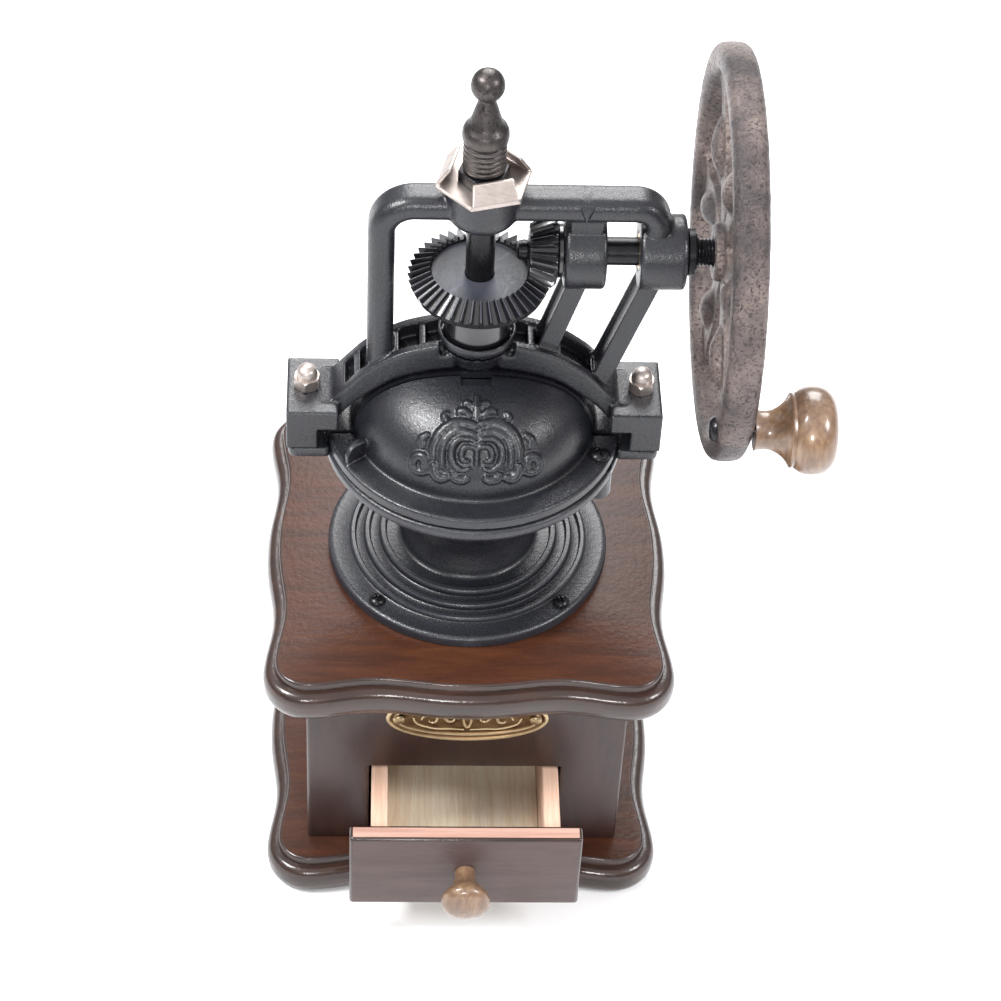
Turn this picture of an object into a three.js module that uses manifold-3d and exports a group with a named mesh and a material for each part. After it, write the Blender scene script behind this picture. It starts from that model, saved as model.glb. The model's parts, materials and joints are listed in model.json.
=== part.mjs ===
// Hand crank coffee grinder: a wooden case with a drawer, a cast hopper with a swinging lid, a bridge
// frame that carries a bevel gear pair, and a flywheel crank. Millimetres, +Z up. The origin is on the
// main shaft's axis at the underside of the base plate, and the crank shaft runs along +X.
import * as THREE from 'three';
import { mergeVertices } from 'three/addons/utils/BufferGeometryUtils.js';
import Module from 'manifold-3d';

const wasm = await Module();
wasm.setup();

// ---- driving dimensions ----------------------------------------------------------------------

const GAP = 0.1;             // between flat faces that rest on each other
const PLATE = { half: 67.5, thick: 14.4, corner: 14.5, wave: 2.6, skew: 1.2 };
const CASE = { half: 53.4, wall: 8, height: 77.6, corner: 2.5 };
const OPENING = { half: 33.4, bottom: 18.9, top: 52.6 };
const DRAWER = {
  half: 31.6, bottom: 19.2, top: 51.2, wall: 5.5, floor: 2.5, length: 92.8, open: 25.2,
  front: { half: 38.75, bottom: 18.1, top: 53.2, thick: 6.2 },
};
const KNOB = { length: 16, radius: 8.2, neck: 3.7 };
const BADGE = { halfWidth: 27, halfHeight: 11.2, z: 79, thick: 1.2, rivetX: 22.8 };
const HOPPER = { flange: 46.8, throat: 17, rimTop: 162.4, rim: 48.2, screwX: 30.4, screwY: 30 };
const EAR = { inner: 43.4, outer: 60, front: -13.5, back: 12.7, boltX: 53.55, hopperTop: 164.3,
  hopperBottom: 160.5, bottom: 164.4, top: 179.9, notchX: 50, notchTop: 172.4 };
const LID = { brim: 47.6, brimBottom: 162.7, brimTop: 167, dome: 39, domeTop: 193.3, wall: 2.4,
  split: -9, pivotX: 40.2, pivotY: -17.7 };
const CRANK = { z: 238.1, radius: 4.4, start: 12.5, end: 84.6, bush: 5.9 };
const SHAFT = { radius: 4.5, bottom: 70, shoulder: 262, threadRadius: 3.5, top: 276.4, bush: 5.5 };
const GEAR = { module: 1, teeth: 44, pinionTeeth: 22, face: 7.6, addendum: 0.0325, dedendum: 0.0447,
  disc: 14.9, discZ: 228.6, back: 223.8, hub: 10.5, hubBottom: 201 };
const BAR = { width: 8.4, depth: 12, z: 257, post: -30.5, end: 53.6, postBend: 10, endBend: 5 };
const BOSS = { radius: 11.8, inner: [25.5, 38.3], outer: [48.5, 63] };
const WHEEL = { x: 76, radius: 64.5, rimWidth: 11, rimDepth: 9.3, hub: 9, spokes: 6, bulb: 32 };
const HANDLE = { radius: 59, angle: 203, start: 82, length: 25.2, neck: 6, head: 13.6, bolt: 2.5 };

const baseTop = PLATE.thick;
const caseTop = baseTop + CASE.height;
const plateTop = caseTop + PLATE.thick;
const panelBack = -CASE.half - DRAWER.open;
const panelFront = panelBack - DRAWER.front.thick;
const panelZ = (DRAWER.front.bottom + DRAWER.front.top) / 2;
const handleY = HANDLE.radius * Math.cos(THREE.MathUtils.degToRad(HANDLE.angle));
const handleZ = CRANK.z + HANDLE.radius * Math.sin(THREE.MathUtils.degToRad(HANDLE.angle));

// ---- materials -------------------------------------------------------------------------------

const finish = (color, roughness, metalness) => ({ color, roughness, metalness });
const FINISH = {
  plate: finish(0x6b3a1e, 0.35, 0),
  darkWood: finish(0x4a2f2a, 0.45, 0),
  paleWood: finish(0xe0b899, 0.6, 0),
  floorWood: finish(0xcdb98c, 0.6, 0),
  knobWood: finish(0x8a6a45, 0.4, 0),
  brass: finish(0xa9884f, 0.35, 0.9),
  casting: finish(0x34363b, 0.55, 0.3),
  gear: finish(0x17181b, 0.25, 0.4),
  steel: finish(0xb9b4ac, 0.3, 1),
  darkSteel: finish(0x1d1d20, 0.35, 0.7),
  pewter: finish(0x5c534e, 0.45, 0.8),
};

// ---- geometry helpers ------------------------------------------------------------------------

// A manifold solid from a closed geometry: shared vertices merged, slivers dropped, faces outward.
function solid(geometry) {
  const bare = geometry.clone();
  bare.deleteAttribute('normal');
  bare.deleteAttribute('uv');
  const merged = mergeVertices(bare, 1e-4);
  const position = merged.attributes.position;
  const triangles = [];
  const corner = [new THREE.Vector3(), new THREE.Vector3(), new THREE.Vector3()];
  let volume = 0;
  for (let i = 0; i < merged.index.count; i += 3) {
    const [a, b, c] = [0, 1, 2].map((k) => merged.index.getX(i + k));
    if (a === b || b === c || c === a) continue;
    [a, b, c].forEach((v, k) => corner[k].fromBufferAttribute(position, v));
    volume += corner[0].dot(corner[1].clone().cross(corner[2]));
    triangles.push([a, b, c]);
  }
  if (volume < 0) triangles.forEach((triangle) => triangle.reverse());
  return new wasm.Manifold(new wasm.Mesh({
    numProp: 3,
    vertProperties: Float32Array.from(position.array),
    triVerts: Uint32Array.from(triangles.flat()),
  }));
}

function toGeometry(manifold) {
  const mesh = manifold.getMesh();
  const geometry = new THREE.BufferGeometry();
  geometry.setAttribute('position', new THREE.BufferAttribute(mesh.vertProperties, 3));
  geometry.setIndex(new THREE.BufferAttribute(mesh.triVerts, 1));
  geometry.computeVertexNormals();
  return geometry;
}

const join = (...solids) => solids.reduce((sum, next) => sum.add(next));
const cut = (body, ...tools) => tools.reduce((rest, tool) => rest.subtract(tool), body);
const degrees = THREE.MathUtils.degToRad;

function box([x0, x1], [y0, y1], [z0, z1]) {
  const geometry = new THREE.BoxGeometry(x1 - x0, y1 - y0, z1 - z0);
  return solid(geometry.translate((x0 + x1) / 2, (y0 + y1) / 2, (z0 + z1) / 2));
}

// Turns a geometry built about +Z so that its axis points along 'x', 'front' (-Y) or stays 'z'.
function aim(geometry, axis) {
  if (axis === 'x') geometry.rotateY(Math.PI / 2);
  if (axis === 'front') geometry.rotateX(Math.PI / 2);
  return geometry;
}

// A solid of revolution. The profile is a list of [radius, height], closed on itself or on the axis.
function turned(profile, sides = 16, axis = 'z', at = [0, 0, 0]) {
  const points = profile.map(([r, h]) => new THREE.Vector2(r, h));
  const endsOnAxis = points[0].x === 0 && points.at(-1).x === 0;
  if (!endsOnAxis) points.push(points[0].clone());
  const geometry = new THREE.LatheGeometry(points, sides).rotateX(Math.PI / 2);
  return solid(aim(geometry, axis).translate(...at));
}

const rod = (radius, from, to, sides = 16, axis = 'z', at = [0, 0, 0]) =>
  turned([[0, from], [radius, from], [radius, to], [0, to]], sides, axis, at);

const ring = (outer, inner, from, to, sides = 16, axis = 'z', at = [0, 0, 0]) =>
  turned([[inner, from], [outer, from], [outer, to], [inner, to]], sides, axis, at);

// An outline in X and Z extruded from y0 to y1.
function upright(outline, y0, y1) {
  const shape = new THREE.Shape(outline.map(([x, z]) => new THREE.Vector2(x, z)));
  const geometry = new THREE.ExtrudeGeometry(shape, { depth: y1 - y0, bevelEnabled: false });
  return solid(geometry.rotateX(Math.PI / 2).translate(0, y1, 0));
}

// An outline in X and Y extruded from z0 to z1.
function flat(outline, z0, z1) {
  const shape = new THREE.Shape(outline.map(([x, y]) => new THREE.Vector2(x, y)));
  const geometry = new THREE.ExtrudeGeometry(shape, { depth: z1 - z0, bevelEnabled: false });
  return solid(geometry.translate(0, 0, z0));
}

// A closed skin through rings of equal length, capped at both ends.
function loft(rings) {
  const count = rings[0].length;
  const position = rings.flat().flatMap((point) => [point.x, point.y, point.z]);
  const index = [];
  for (let i = 0; i < rings.length - 1; i += 1) {
    const [here, next] = [i * count, (i + 1) * count];
    for (let j = 0; j < count; j += 1) {
      const k = (j + 1) % count;
      index.push(here + j, here + k, next + k, here + j, next + k, next + j);
    }
  }
  index.push(...cap(rings[0], 0, true), ...cap(rings.at(-1), (rings.length - 1) * count, false));
  const geometry = new THREE.BufferGeometry();
  geometry.setAttribute('position', new THREE.Float32BufferAttribute(position, 3));
  geometry.setIndex(index);
  return solid(geometry);
}

// The triangles that fill one end ring, in the plane of its first three corners.
function cap(points, offset, reversed) {
  const u = points[1].clone().sub(points[0]).normalize();
  const normal = new THREE.Vector3();
  points.forEach((p, i) => normal.add(p.clone().cross(points[(i + 1) % points.length])));
  const v = normal.normalize().clone().cross(u);
  const outline = points.map((p) => new THREE.Vector2(p.dot(u), p.dot(v)));
  const faces = THREE.ShapeUtils.triangulateShape(outline, []);
  return faces.flatMap(([a, b, c]) => (reversed ? [c, b, a] : [a, b, c]).map((n) => n + offset));
}

const mirrored = (points) => points.map(([x, z]) => [-x, z]).reverse();

function rectangle([x0, x1], [y0, y1], radius = 0, steps = 3) {
  if (radius === 0) return [[x0, y0], [x1, y0], [x1, y1], [x0, y1]];
  const centres = [[x1 - radius, y1 - radius], [x0 + radius, y1 - radius], [x0 + radius, y0 + radius],
    [x1 - radius, y0 + radius]];
  return centres.flatMap(([cx, cy], quarter) => Array.from({ length: steps + 1 }, (_, i) => {
    const angle = (quarter + i / steps) * Math.PI / 2;
    return [cx + radius * Math.cos(angle), cy + radius * Math.sin(angle)];
  }));
}

const meshes = [];

function piece(name, manifold, look) {
  const material = new THREE.MeshStandardMaterial(FINISH[look]);
  const mesh = new THREE.Mesh(toGeometry(manifold), material);
  mesh.name = name;
  meshes.push(mesh);
}

// ---- wooden plates ---------------------------------------------------------------------------

// One plate outline, inset from the full size: four wavy sides joined by round corner lobes.
function plateRing(inset, z) {
  const span = PLATE.half - PLATE.corner;
  const steps = 8;
  const points = [];
  for (let side = 0; side < 4; side += 1) {
    const turn = (x, y) => new THREE.Vector3(x, y, z).applyAxisAngle(
      new THREE.Vector3(0, 0, 1), side * Math.PI / 2);
    for (let i = 0; i <= steps; i += 1) {
      const x = span * (2 * i / steps - 1);
      const phase = 2 * Math.PI * (Math.abs(x) / span) ** PLATE.skew;
      points.push(turn(x, -(PLATE.half - inset - PLATE.wave * (1 - Math.cos(phase)) / 2)));
    }
    for (let i = 1; i < 4; i += 1) {
      const angle = (i / 4 - 1) * Math.PI / 2;
      const r = PLATE.corner - inset;
      points.push(turn(span + r * Math.cos(angle), -span + r * Math.sin(angle)));
    }
  }
  return points;
}

// Bullnose below, a cove, and a small bead where the top face starts.
const plateProfile = [[3.4, 0], [0.8, 1.9], [0, 6.6], [1.1, 10.4], [3.4, 11.7], [4.4, PLATE.thick]];

function woodenPlate(bottom) {
  return loft(plateProfile.map(([inset, height]) => plateRing(inset, bottom + height)));
}

const flangeScrews = [[-1, -1], [1, -1], [1, 1], [-1, 1]]
  .map(([sx, sy]) => [sx * HOPPER.screwX, sy * HOPPER.screwY]);
const flangeTop = plateTop + 4;
const burrHole = 21.2;
const screwHoles = (bottom, top) => flangeScrews.map(([x, y]) => rod(1.9, bottom, top, 6, 'z', [x, y, 0]));

piece('base_plate', woodenPlate(0), 'plate');
piece('top_plate', cut(woodenPlate(caseTop), rod(burrHole, caseTop - 1, plateTop + 1, 20),
  ...screwHoles(plateTop - 9.4, plateTop + 1)), 'plate');

// ---- wooden case -----------------------------------------------------------------------------

const walls = [baseTop + GAP, caseTop - GAP];
const outside = CASE.half;
const inside = CASE.half - CASE.wall;

// A board across the full width with its two outer corners rounded, on the front (-1) or back (1).
function fullBoard(side) {
  const rounded = flat(rectangle([-outside, outside], [inside - 6, outside], CASE.corner), ...walls);
  const board = rounded.intersect(box([-outside, outside], [inside, outside], walls));
  return side > 0 ? board : board.rotate([0, 0, 180]);
}

const openingCut = box([-OPENING.half, OPENING.half], [-60, -40], [OPENING.bottom, OPENING.top]);
piece('case_front', cut(fullBoard(-1), openingCut), 'darkWood');
piece('case_back', fullBoard(1), 'darkWood');
for (const [name, side] of [['left', -1], ['right', 1]]) {
  const across = [side * inside, side * outside].sort((a, b) => a - b);
  piece(`case_${name}`, box(across, [-inside + GAP, inside - GAP], walls), 'darkWood');
  const runner = [side * 23, side * 31].sort((a, b) => a - b);
  piece(`drawer_runner_${name}`, box(runner, [-inside + 1, inside - 1],
    [baseTop + GAP, OPENING.bottom]), 'paleWood');
}

// ---- name plate ------------------------------------------------------------------------------

const badgeOval = Array.from({ length: 24 }, (_, i) => {
  const angle = i / 24 * 2 * Math.PI;
  return [BADGE.halfWidth * Math.cos(angle), BADGE.z + BADGE.halfHeight * Math.sin(angle)];
});
const badgeBack = -outside - GAP;
const badgeFront = badgeBack - BADGE.thick;
const rivetHoles = [-1, 1].map((side) => rod(1.4, outside - 5, outside + 2, 8, 'front',
  [side * BADGE.rivetX, 0, BADGE.z]));
piece('name_plate', cut(upright(badgeOval, badgeFront, badgeBack), ...rivetHoles), 'brass');
for (const [name, side] of [['left', -1], ['right', 1]]) {
  piece(`name_rivet_${name}`, turned([[0, -badgeBack + 0.1], [1.1, -badgeBack + 0.1],
    [1.1, -badgeFront + 0.1], [2.1, -badgeFront + 0.1], [1.6, -badgeFront + 0.9],
    [0, -badgeFront + 1.2]], 10, 'front', [side * BADGE.rivetX, 0, BADGE.z]), 'brass');
}

// ---- drawer ----------------------------------------------------------------------------------

const drawerEnd = panelBack + DRAWER.length;
const drawerHeight = [DRAWER.bottom, DRAWER.top];
const trayHalf = DRAWER.half - DRAWER.wall - GAP;
const front = DRAWER.front;
const knobScrewHole = rod(1.7, -panelBack - 1, -panelFront + 9, 8, 'front', [0, 0, panelZ]);
piece('drawer_front', cut(box([-front.half, front.half], [panelFront, panelBack],
  [front.bottom, front.top]), knobScrewHole), 'darkWood');
for (const [name, side] of [['left', -1], ['right', 1]]) {
  const across = [side * DRAWER.half, side * (DRAWER.half - DRAWER.wall)].sort((a, b) => a - b);
  piece(`drawer_${name}`, box(across, [panelBack + GAP, drawerEnd], drawerHeight), 'paleWood');
}
piece('drawer_back', box([-trayHalf, trayHalf], [drawerEnd - DRAWER.wall, drawerEnd], drawerHeight),
  'paleWood');
piece('drawer_bottom', box([-trayHalf, trayHalf], [panelBack + GAP, drawerEnd - DRAWER.wall - GAP],
  [DRAWER.bottom + 1.5, DRAWER.bottom + 1.5 + DRAWER.floor]), 'floorWood');

const knobProfile = [[0, 0.1], [5.4, 0.1], [4.6, 1.4], [KNOB.neck, 4], [4.6, 7.2], [7.2, 10.2],
  [KNOB.radius, 12], [7.2, 13.8], [4, 15.4], [0, KNOB.length]];
piece('drawer_knob', cut(turned(knobProfile, 16, 'front', [0, panelFront, panelZ]), knobScrewHole),
  'knobWood');
const knobScrew = [[0, -1.6], [3.2, -1.2], [3.2, -GAP], [1.5, -GAP], [1.5, 12.5], [0, 13.5]];
piece('drawer_knob_screw', turned(knobScrew, 10, 'front', [0, panelBack, panelZ]), 'steel');

// ---- hopper and burrs ------------------------------------------------------------------------

// Three stepped rings between the flange and the neck, each [outer, inner, foot, top].
const ridges = [[39.6, 37.6, 0, 1.8], [34.9, 32.8, 0.6, 2.9], [29.7, 27.4, 1.6, 4.2]];
const neckFoot = flangeTop + 2.8;
const hopperProfile = [
  [HOPPER.throat, plateTop + GAP], [HOPPER.flange, plateTop + GAP], [HOPPER.flange, plateTop + 3],
  [HOPPER.flange - 0.9, flangeTop],
  ...ridges.flatMap(([outer, inner, foot, top], i) => [
    [outer, flangeTop + foot], [outer, flangeTop + top], [inner, flangeTop + top],
    [inner, i < 2 ? flangeTop + ridges[i + 1][2] : neckFoot]]),
  [23.6, neckFoot], [20.4, 119], [20.4, 126], [27.5, 137.5], [43, 152.5], [46.8, 158.4],
  [HOPPER.rim, 158.8], [HOPPER.rim, HOPPER.rimTop - 0.8], [HOPPER.rim - 0.9, HOPPER.rimTop],
  [44.6, HOPPER.rimTop], [42.6, 155.4], [25.5, 138.5], [HOPPER.throat, 128],
];

// The lug under the lid's pivot screw, on the inside of the rim.
const lidLug = rod(4.4, 151, HOPPER.rimTop, 10, 'z', [LID.pivotX, LID.pivotY, 0]);
const hopperEars = [-1, 1].map((side) => {
  const across = [side * 44, side * (EAR.outer - 0.5)].sort((a, b) => a - b);
  return flat(rectangle(across, [EAR.front, EAR.back], 2.5, 2), EAR.hopperBottom, EAR.hopperTop);
});
const boltHoles = [-1, 1].map((side) => rod(2.8, 150, 185, 8, 'z', [side * EAR.boltX, 0, 0]));
piece('hopper', cut(
  join(
    cut(join(turned(hopperProfile, 24), ...hopperEars),
      rod(HOPPER.rim + 0.1, HOPPER.rimTop, 170, 24), rod(44, 158, 170, 24)),
    lidLug),
  rod(2.1, 153, 170, 8, 'z', [LID.pivotX, LID.pivotY, 0]),
  ...boltHoles, ...screwHoles(plateTop - 1, flangeTop + 1)), 'casting');

flangeScrews.forEach(([x, y], i) => {
  piece(`flange_screw_${i + 1}`, turned([[0, plateTop - 8.5], [1.5, plateTop - 7], [1.5, flangeTop + GAP],
    [2.8, flangeTop + GAP], [2.5, flangeTop + 1.4], [0, flangeTop + 2]], 10, 'z', [x, y, 0]), 'darkSteel');
});

piece('outer_burr', turned([[20.3, 88], [20.3, plateTop - 0.3], [14.2, plateTop - 0.3], [13.4, 100],
  [17.6, 88]], 20), 'darkSteel');
const bearingHole = rod(SHAFT.radius + 0.2, 60, 110, 16);
piece('burr_bracket', cut(join(
  turned([[21.2, 77], [24, 77], [24, 89.6], [32, 89.6], [32, caseTop - GAP], [21.2, caseTop - GAP]], 16),
  box([-22, 22], [-6, 6], [72, 77.4])), bearingHole), 'casting');
piece('inner_burr', cut(turned([[0, 84], [15.2, 84], [15.8, 87], [11.6, 99], [8, 105], [0, 105]], 16),
  bearingHole), 'darkSteel');
piece('burr_washer', ring(8, SHAFT.radius + 0.2, 81.6, 83.7), 'steel');

// A coil spring between the bracket's bar and the burr washer.
const coil = new THREE.CatmullRomCurve3(Array.from({ length: 19 }, (_, i) => {
  const angle = i / 9 * 2 * Math.PI;
  return new THREE.Vector3(6 * Math.cos(angle), 6 * Math.sin(angle), 77.95 + i / 9);
}));
const wire = new THREE.Shape(Array.from({ length: 4 }, (_, i) =>
  new THREE.Vector2(0.4 * Math.cos(i * Math.PI / 2), 0.4 * Math.sin(i * Math.PI / 2))));
piece('burr_spring', solid(new THREE.ExtrudeGeometry(wire, { steps: 24, extrudePath: coil })), 'steel');

// ---- lid and rear hood -----------------------------------------------------------------------

const domeHeight = (r, radius, top) =>
  LID.brimTop + (top - LID.brimTop) * Math.max(0, 1 - (r / radius) ** 2.6) ** (1 / 2.2);
const domeSteps = [0, 0.35, 0.62, 0.82, 0.94, 0.99, 1];
const domeOutside = domeSteps.map((t) => [t * LID.dome, domeHeight(t, 1, LID.domeTop)]);
const domeInside = domeSteps.slice(0, -1).reverse()
  .map((t) => [t * (LID.dome - LID.wall), domeHeight(t, 1, LID.domeTop - LID.wall)]);
const domeShell = turned([
  ...domeOutside, [LID.brim - 0.8, LID.brimTop], [LID.brim, LID.brimTop - 0.8],
  [LID.brim, LID.brimBottom + 0.7], [LID.brim - 0.6, LID.brimBottom],
  [LID.dome - LID.wall, LID.brimBottom], ...domeInside,
], 28);
const ahead = box([-60, 60], [-60, LID.split], [150, 200]);
const behind = box([-60, 60], [LID.split + 1.5, 60], [150, 200]);

// The finger tab is a short curved fin that stands on the brim's left end.
const tabOutline = [[-41.5, -20], [-39.8, -23.4], [-35.2, -20.4], [-30.8, -18.6], [-30.8, -13.4],
  [-35.2, -14.2]];
const tab = flat(tabOutline, LID.brimTop - 1, LID.brimTop + 6.5);
const shaftNotch = upright([[-8, LID.domeTop + 1], [-5.4, LID.domeTop - 4.2], [5.4, LID.domeTop - 4.2],
  [8, LID.domeTop + 1]], LID.split - 5, LID.split + 1);
piece('lid', cut(join(domeShell.intersect(ahead), tab), shaftNotch,
  rod(2.1, 150, 180, 8, 'z', [LID.pivotX, LID.pivotY, 0])), 'casting');
piece('rear_hood', cut(domeShell.intersect(behind), rod(7, 180, 200, 12),
  rod(11.6, 150, 200, 16, 'z', [LID.pivotX, LID.pivotY, 0])), 'casting');
piece('lid_screw', turned([[0, 154], [1.8, 155], [1.8, LID.brimTop + 0.3], [3.5, LID.brimTop + 0.3],
  [3.1, LID.brimTop + 1.6], [0, LID.brimTop + 2.3]], 10, 'z', [LID.pivotX, LID.pivotY, 0]), 'darkSteel');

// ---- bridge frame ----------------------------------------------------------------------------

const curve = (points, steps) => new THREE.SplineCurve(points.map(([x, z]) => new THREE.Vector2(x, z)))
  .getPoints(steps).map((p) => [p.x, p.y]);
const archHalf = 8;
const archTop = curve([[45.5, 180.6], [40.5, 187], [34.5, 193.6], [24, 200.8], [12, 204.6], [0, 205.4]], 6);
const archUnder = curve([[0, 195.6], [14, 194.2], [24, 190.9], [31, 186.2], [39.6, 178.2],
  [43.9, 172.6]], 6);
const archOutline = [
  ...archTop, ...mirrored(archTop).slice(1), [-50, EAR.top], [-50, EAR.notchTop],
  ...mirrored(archUnder), ...archUnder.slice(1), [50, EAR.notchTop], [50, EAR.top],
];
const channelFloor = (x) => 205.4 - 6 - 0.0122 * x * x;
const channel = [-1, 1].map((side) => upright([12.8, 20, 28, 36].map((x) => [side * x, channelFloor(x)])
  .concat([[side * 36, 210], [side * 12.8, 210]]), -4.6, 4.6));
const arch = cut(upright(archOutline, -archHalf, archHalf), ...channel);

function earBlock(side) {
  const across = [side * EAR.inner, side * EAR.outer].sort((a, b) => a - b);
  const notch = [side * (EAR.inner - 1), side * EAR.notchX].sort((a, b) => a - b);
  return cut(flat(rectangle(across, [EAR.front, EAR.back], 2.5, 2), EAR.bottom, EAR.top),
    box(notch, [-20, 20], [EAR.bottom - 1, EAR.notchTop]));
}

// The post and top bar are one rounded bar bent twice in the plane y = 0.
function bentBar() {
  const path = new THREE.CurvePath();
  const corner = (x, z, r, from) => new THREE.EllipseCurve(x, z, r, r, from, from - Math.PI / 2, true);
  const line = (...ends) => new THREE.LineCurve(...ends.map(([x, z]) => new THREE.Vector2(x, z)));
  const left = BAR.post + BAR.postBend;
  const right = BAR.end - BAR.endBend;
  path.add(line([BAR.post, 190.4], [BAR.post, BAR.z - BAR.postBend]));
  path.add(corner(left, BAR.z - BAR.postBend, BAR.postBend, Math.PI));
  path.add(line([left, BAR.z], [right, BAR.z]));
  path.add(corner(right, BAR.z - BAR.endBend, BAR.endBend, Math.PI / 2));
  path.add(line([BAR.end, BAR.z - BAR.endBend], [BAR.end, CRANK.z + 4]));
  const stations = path.curves.flatMap((part) => {
    const steps = part instanceof THREE.LineCurve ? 1 : 4;
    return Array.from({ length: steps + 1 }, (_, i) => [part.getPoint(i / steps), part.getTangent(i / steps)]);
  });
  const section = rectangle([-BAR.width / 2, BAR.width / 2], [-BAR.depth / 2, BAR.depth / 2], 3.2, 1);
  const apart = stations.filter(([p], i) => i === 0 || p.distanceTo(stations[i - 1][0]) > 0.01);
  return loft(apart.map(([p, t]) => section.map(([u, v]) =>
    new THREE.Vector3(p.x - t.y * u, v, p.y + t.x * u))));
}

function strut([x0, z0], [x1, z1], half = 3) {
  const side = new THREE.Vector2(z1 - z0, x0 - x1).setLength(half);
  return upright([[x0 + side.x, z0 + side.y], [x1 + side.x, z1 + side.y], [x1 - side.x, z1 - side.y],
    [x0 - side.x, z0 - side.y]], -5, 5);
}

const crankBoss = ([from, to]) => turned([[0, from], [BOSS.radius - 0.9, from], [BOSS.radius, from + 0.9],
  [BOSS.radius, to - 0.9], [BOSS.radius - 0.9, to], [0, to]], 18, 'x', [0, 0, CRANK.z]);
const lowerBoss = turned([[0, 194.6], [8.4, 194.6], [9.4, 196], [9.4, 198], [12, 203.4], [12, 206.4],
  [0, 206.4]], 20);
const upperBoss = turned([[0, 250.3], [6.6, 250.3], [9.6, 252], [11.6, 255.8], [11.6, 265], [0, 265]], 18);

piece('bridge_frame', cut(
  join(arch, earBlock(-1), earBlock(1), bentBar(), strut([30.4, 229.5], [21.3, 198]),
    strut([53.4, 230], [38.8, 185]), crankBoss(BOSS.inner), crankBoss(BOSS.outer), lowerBoss, upperBoss,
    box([28, 36], [-5, 5], [CRANK.z + 8, BAR.z])),
  rod(11.3, 200.6, 210, 20), rod(SHAFT.bush + 0.15, 190, 270, 16),
  rod(CRANK.bush + 0.15, 20, 70, 16, 'x', [0, 0, CRANK.z]), ...boltHoles), 'casting');

piece('lower_bush', ring(SHAFT.bush, SHAFT.radius + 0.15, 194.8, 200.4), 'brass');
piece('upper_bush', ring(SHAFT.bush, SHAFT.radius + 0.15, 250.6, 261.8), 'brass');
[['inner', BOSS.inner], ['outer', BOSS.outer]].forEach(([name, [from, to]]) => {
  piece(`crank_bush_${name}`, ring(CRANK.bush, CRANK.radius + 0.15, from + GAP, to - GAP, 16, 'x',
    [0, 0, CRANK.z]), 'brass');
});
for (const [name, side] of [['left', -1], ['right', 1]]) {
  const at = [side * EAR.boltX, 0, 0];
  piece(`ear_bolt_${name}`, turned([[0, 156.6], [4.2, 156.6], [4.2, EAR.hopperBottom - GAP],
    [2.5, EAR.hopperBottom - GAP], [2.5, 184.4], [0, 184.4]], 8, 'z', at), 'steel');
  piece(`acorn_nut_${name}`, turned([[2.7, EAR.top + GAP], [4.5, EAR.top + GAP], [4.5, 183.6],
    [3.5, 184], [3.3, 186], [2, 187.6], [0, 188.1], [0, 184.9], [2.7, 184.9]], 8, 'z', at), 'steel');
}

// ---- bevel gears -----------------------------------------------------------------------------

// A toothed ring on the pitch cone at one cone distance, about +Z with the apex at the origin below.
function toothRing(teeth, cone, distance, addendum, dedendum, phase) {
  const corners = [[-0.25, -dedendum], [-0.09, addendum], [0.09, addendum], [0.25, -dedendum]];
  const points = [];
  for (let tooth = 0; tooth < teeth; tooth += 1) {
    for (const [offset, lift] of corners) {
      const angle = 2 * Math.PI * (tooth + offset + phase) / teeth;
      const r = distance * Math.sin(cone + lift);
      points.push(new THREE.Vector3(r * Math.cos(angle), r * Math.sin(angle),
        distance * Math.cos(cone + lift)));
    }
  }
  return points;
}

const circleLike = (points, r, z) => points.map((p) => {
  const angle = Math.atan2(p.y, p.x);
  return new THREE.Vector3(r * Math.cos(angle), r * Math.sin(angle), z);
});

const gearCone = Math.atan2(GEAR.teeth, GEAR.pinionTeeth);
const outerDistance = GEAR.module * Math.hypot(GEAR.teeth, GEAR.pinionTeeth) / 2;
const innerDistance = outerDistance - GEAR.face;

// The toothed body of a bevel gear with its apex at the origin and its teeth facing the apex.
function bevel(teeth, cone, phase, face, back) {
  const outer = toothRing(teeth, cone, outerDistance, GEAR.addendum, GEAR.dedendum, phase);
  const inner = toothRing(teeth, cone, innerDistance, GEAR.addendum, GEAR.dedendum, phase);
  return loft([circleLike(inner, face.radius, face.height), inner, outer,
    circleLike(outer, back.radius, back.height)]);
}

const gearTeeth = bevel(GEAR.teeth, gearCone, 0,
  { radius: GEAR.disc, height: CRANK.z - GEAR.discZ }, { radius: 20.6, height: CRANK.z - GEAR.back });
piece('bevel_gear', cut(
  join(gearTeeth.mirror([0, 0, 1]).translate([0, 0, CRANK.z]), rod(GEAR.hub, GEAR.hubBottom,
    GEAR.back + 1, 20), rod(SHAFT.radius + 1.6, GEAR.discZ - 1, GEAR.discZ + 2, 16)),
  rod(SHAFT.radius + 0.2, 195, 235, 16)), 'gear');

const pinionTeeth = bevel(GEAR.pinionTeeth, Math.PI / 2 - gearCone, 0.5,
  { radius: 6.8, height: innerDistance * 0.9 }, { radius: 10.2, height: 23.4 });
const pinionBack = BOSS.inner[0] - 0.3;
const pinion = join(pinionTeeth, rod(8.4, 22, pinionBack, 16)).rotate([0, 90, 0]);
piece('bevel_pinion', cut(pinion.translate([0, 0, CRANK.z]),
  rod(CRANK.radius + 0.2, 10, 30, 16, 'x', [0, 0, CRANK.z])), 'gear');

// ---- shafts and the adjusting stack ----------------------------------------------------------

piece('main_shaft', turned([[0, SHAFT.bottom], [SHAFT.radius, SHAFT.bottom], [SHAFT.radius,
  SHAFT.shoulder], [SHAFT.threadRadius, SHAFT.shoulder], [SHAFT.threadRadius, SHAFT.top],
[0, SHAFT.top]], 16), 'darkSteel');

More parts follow.
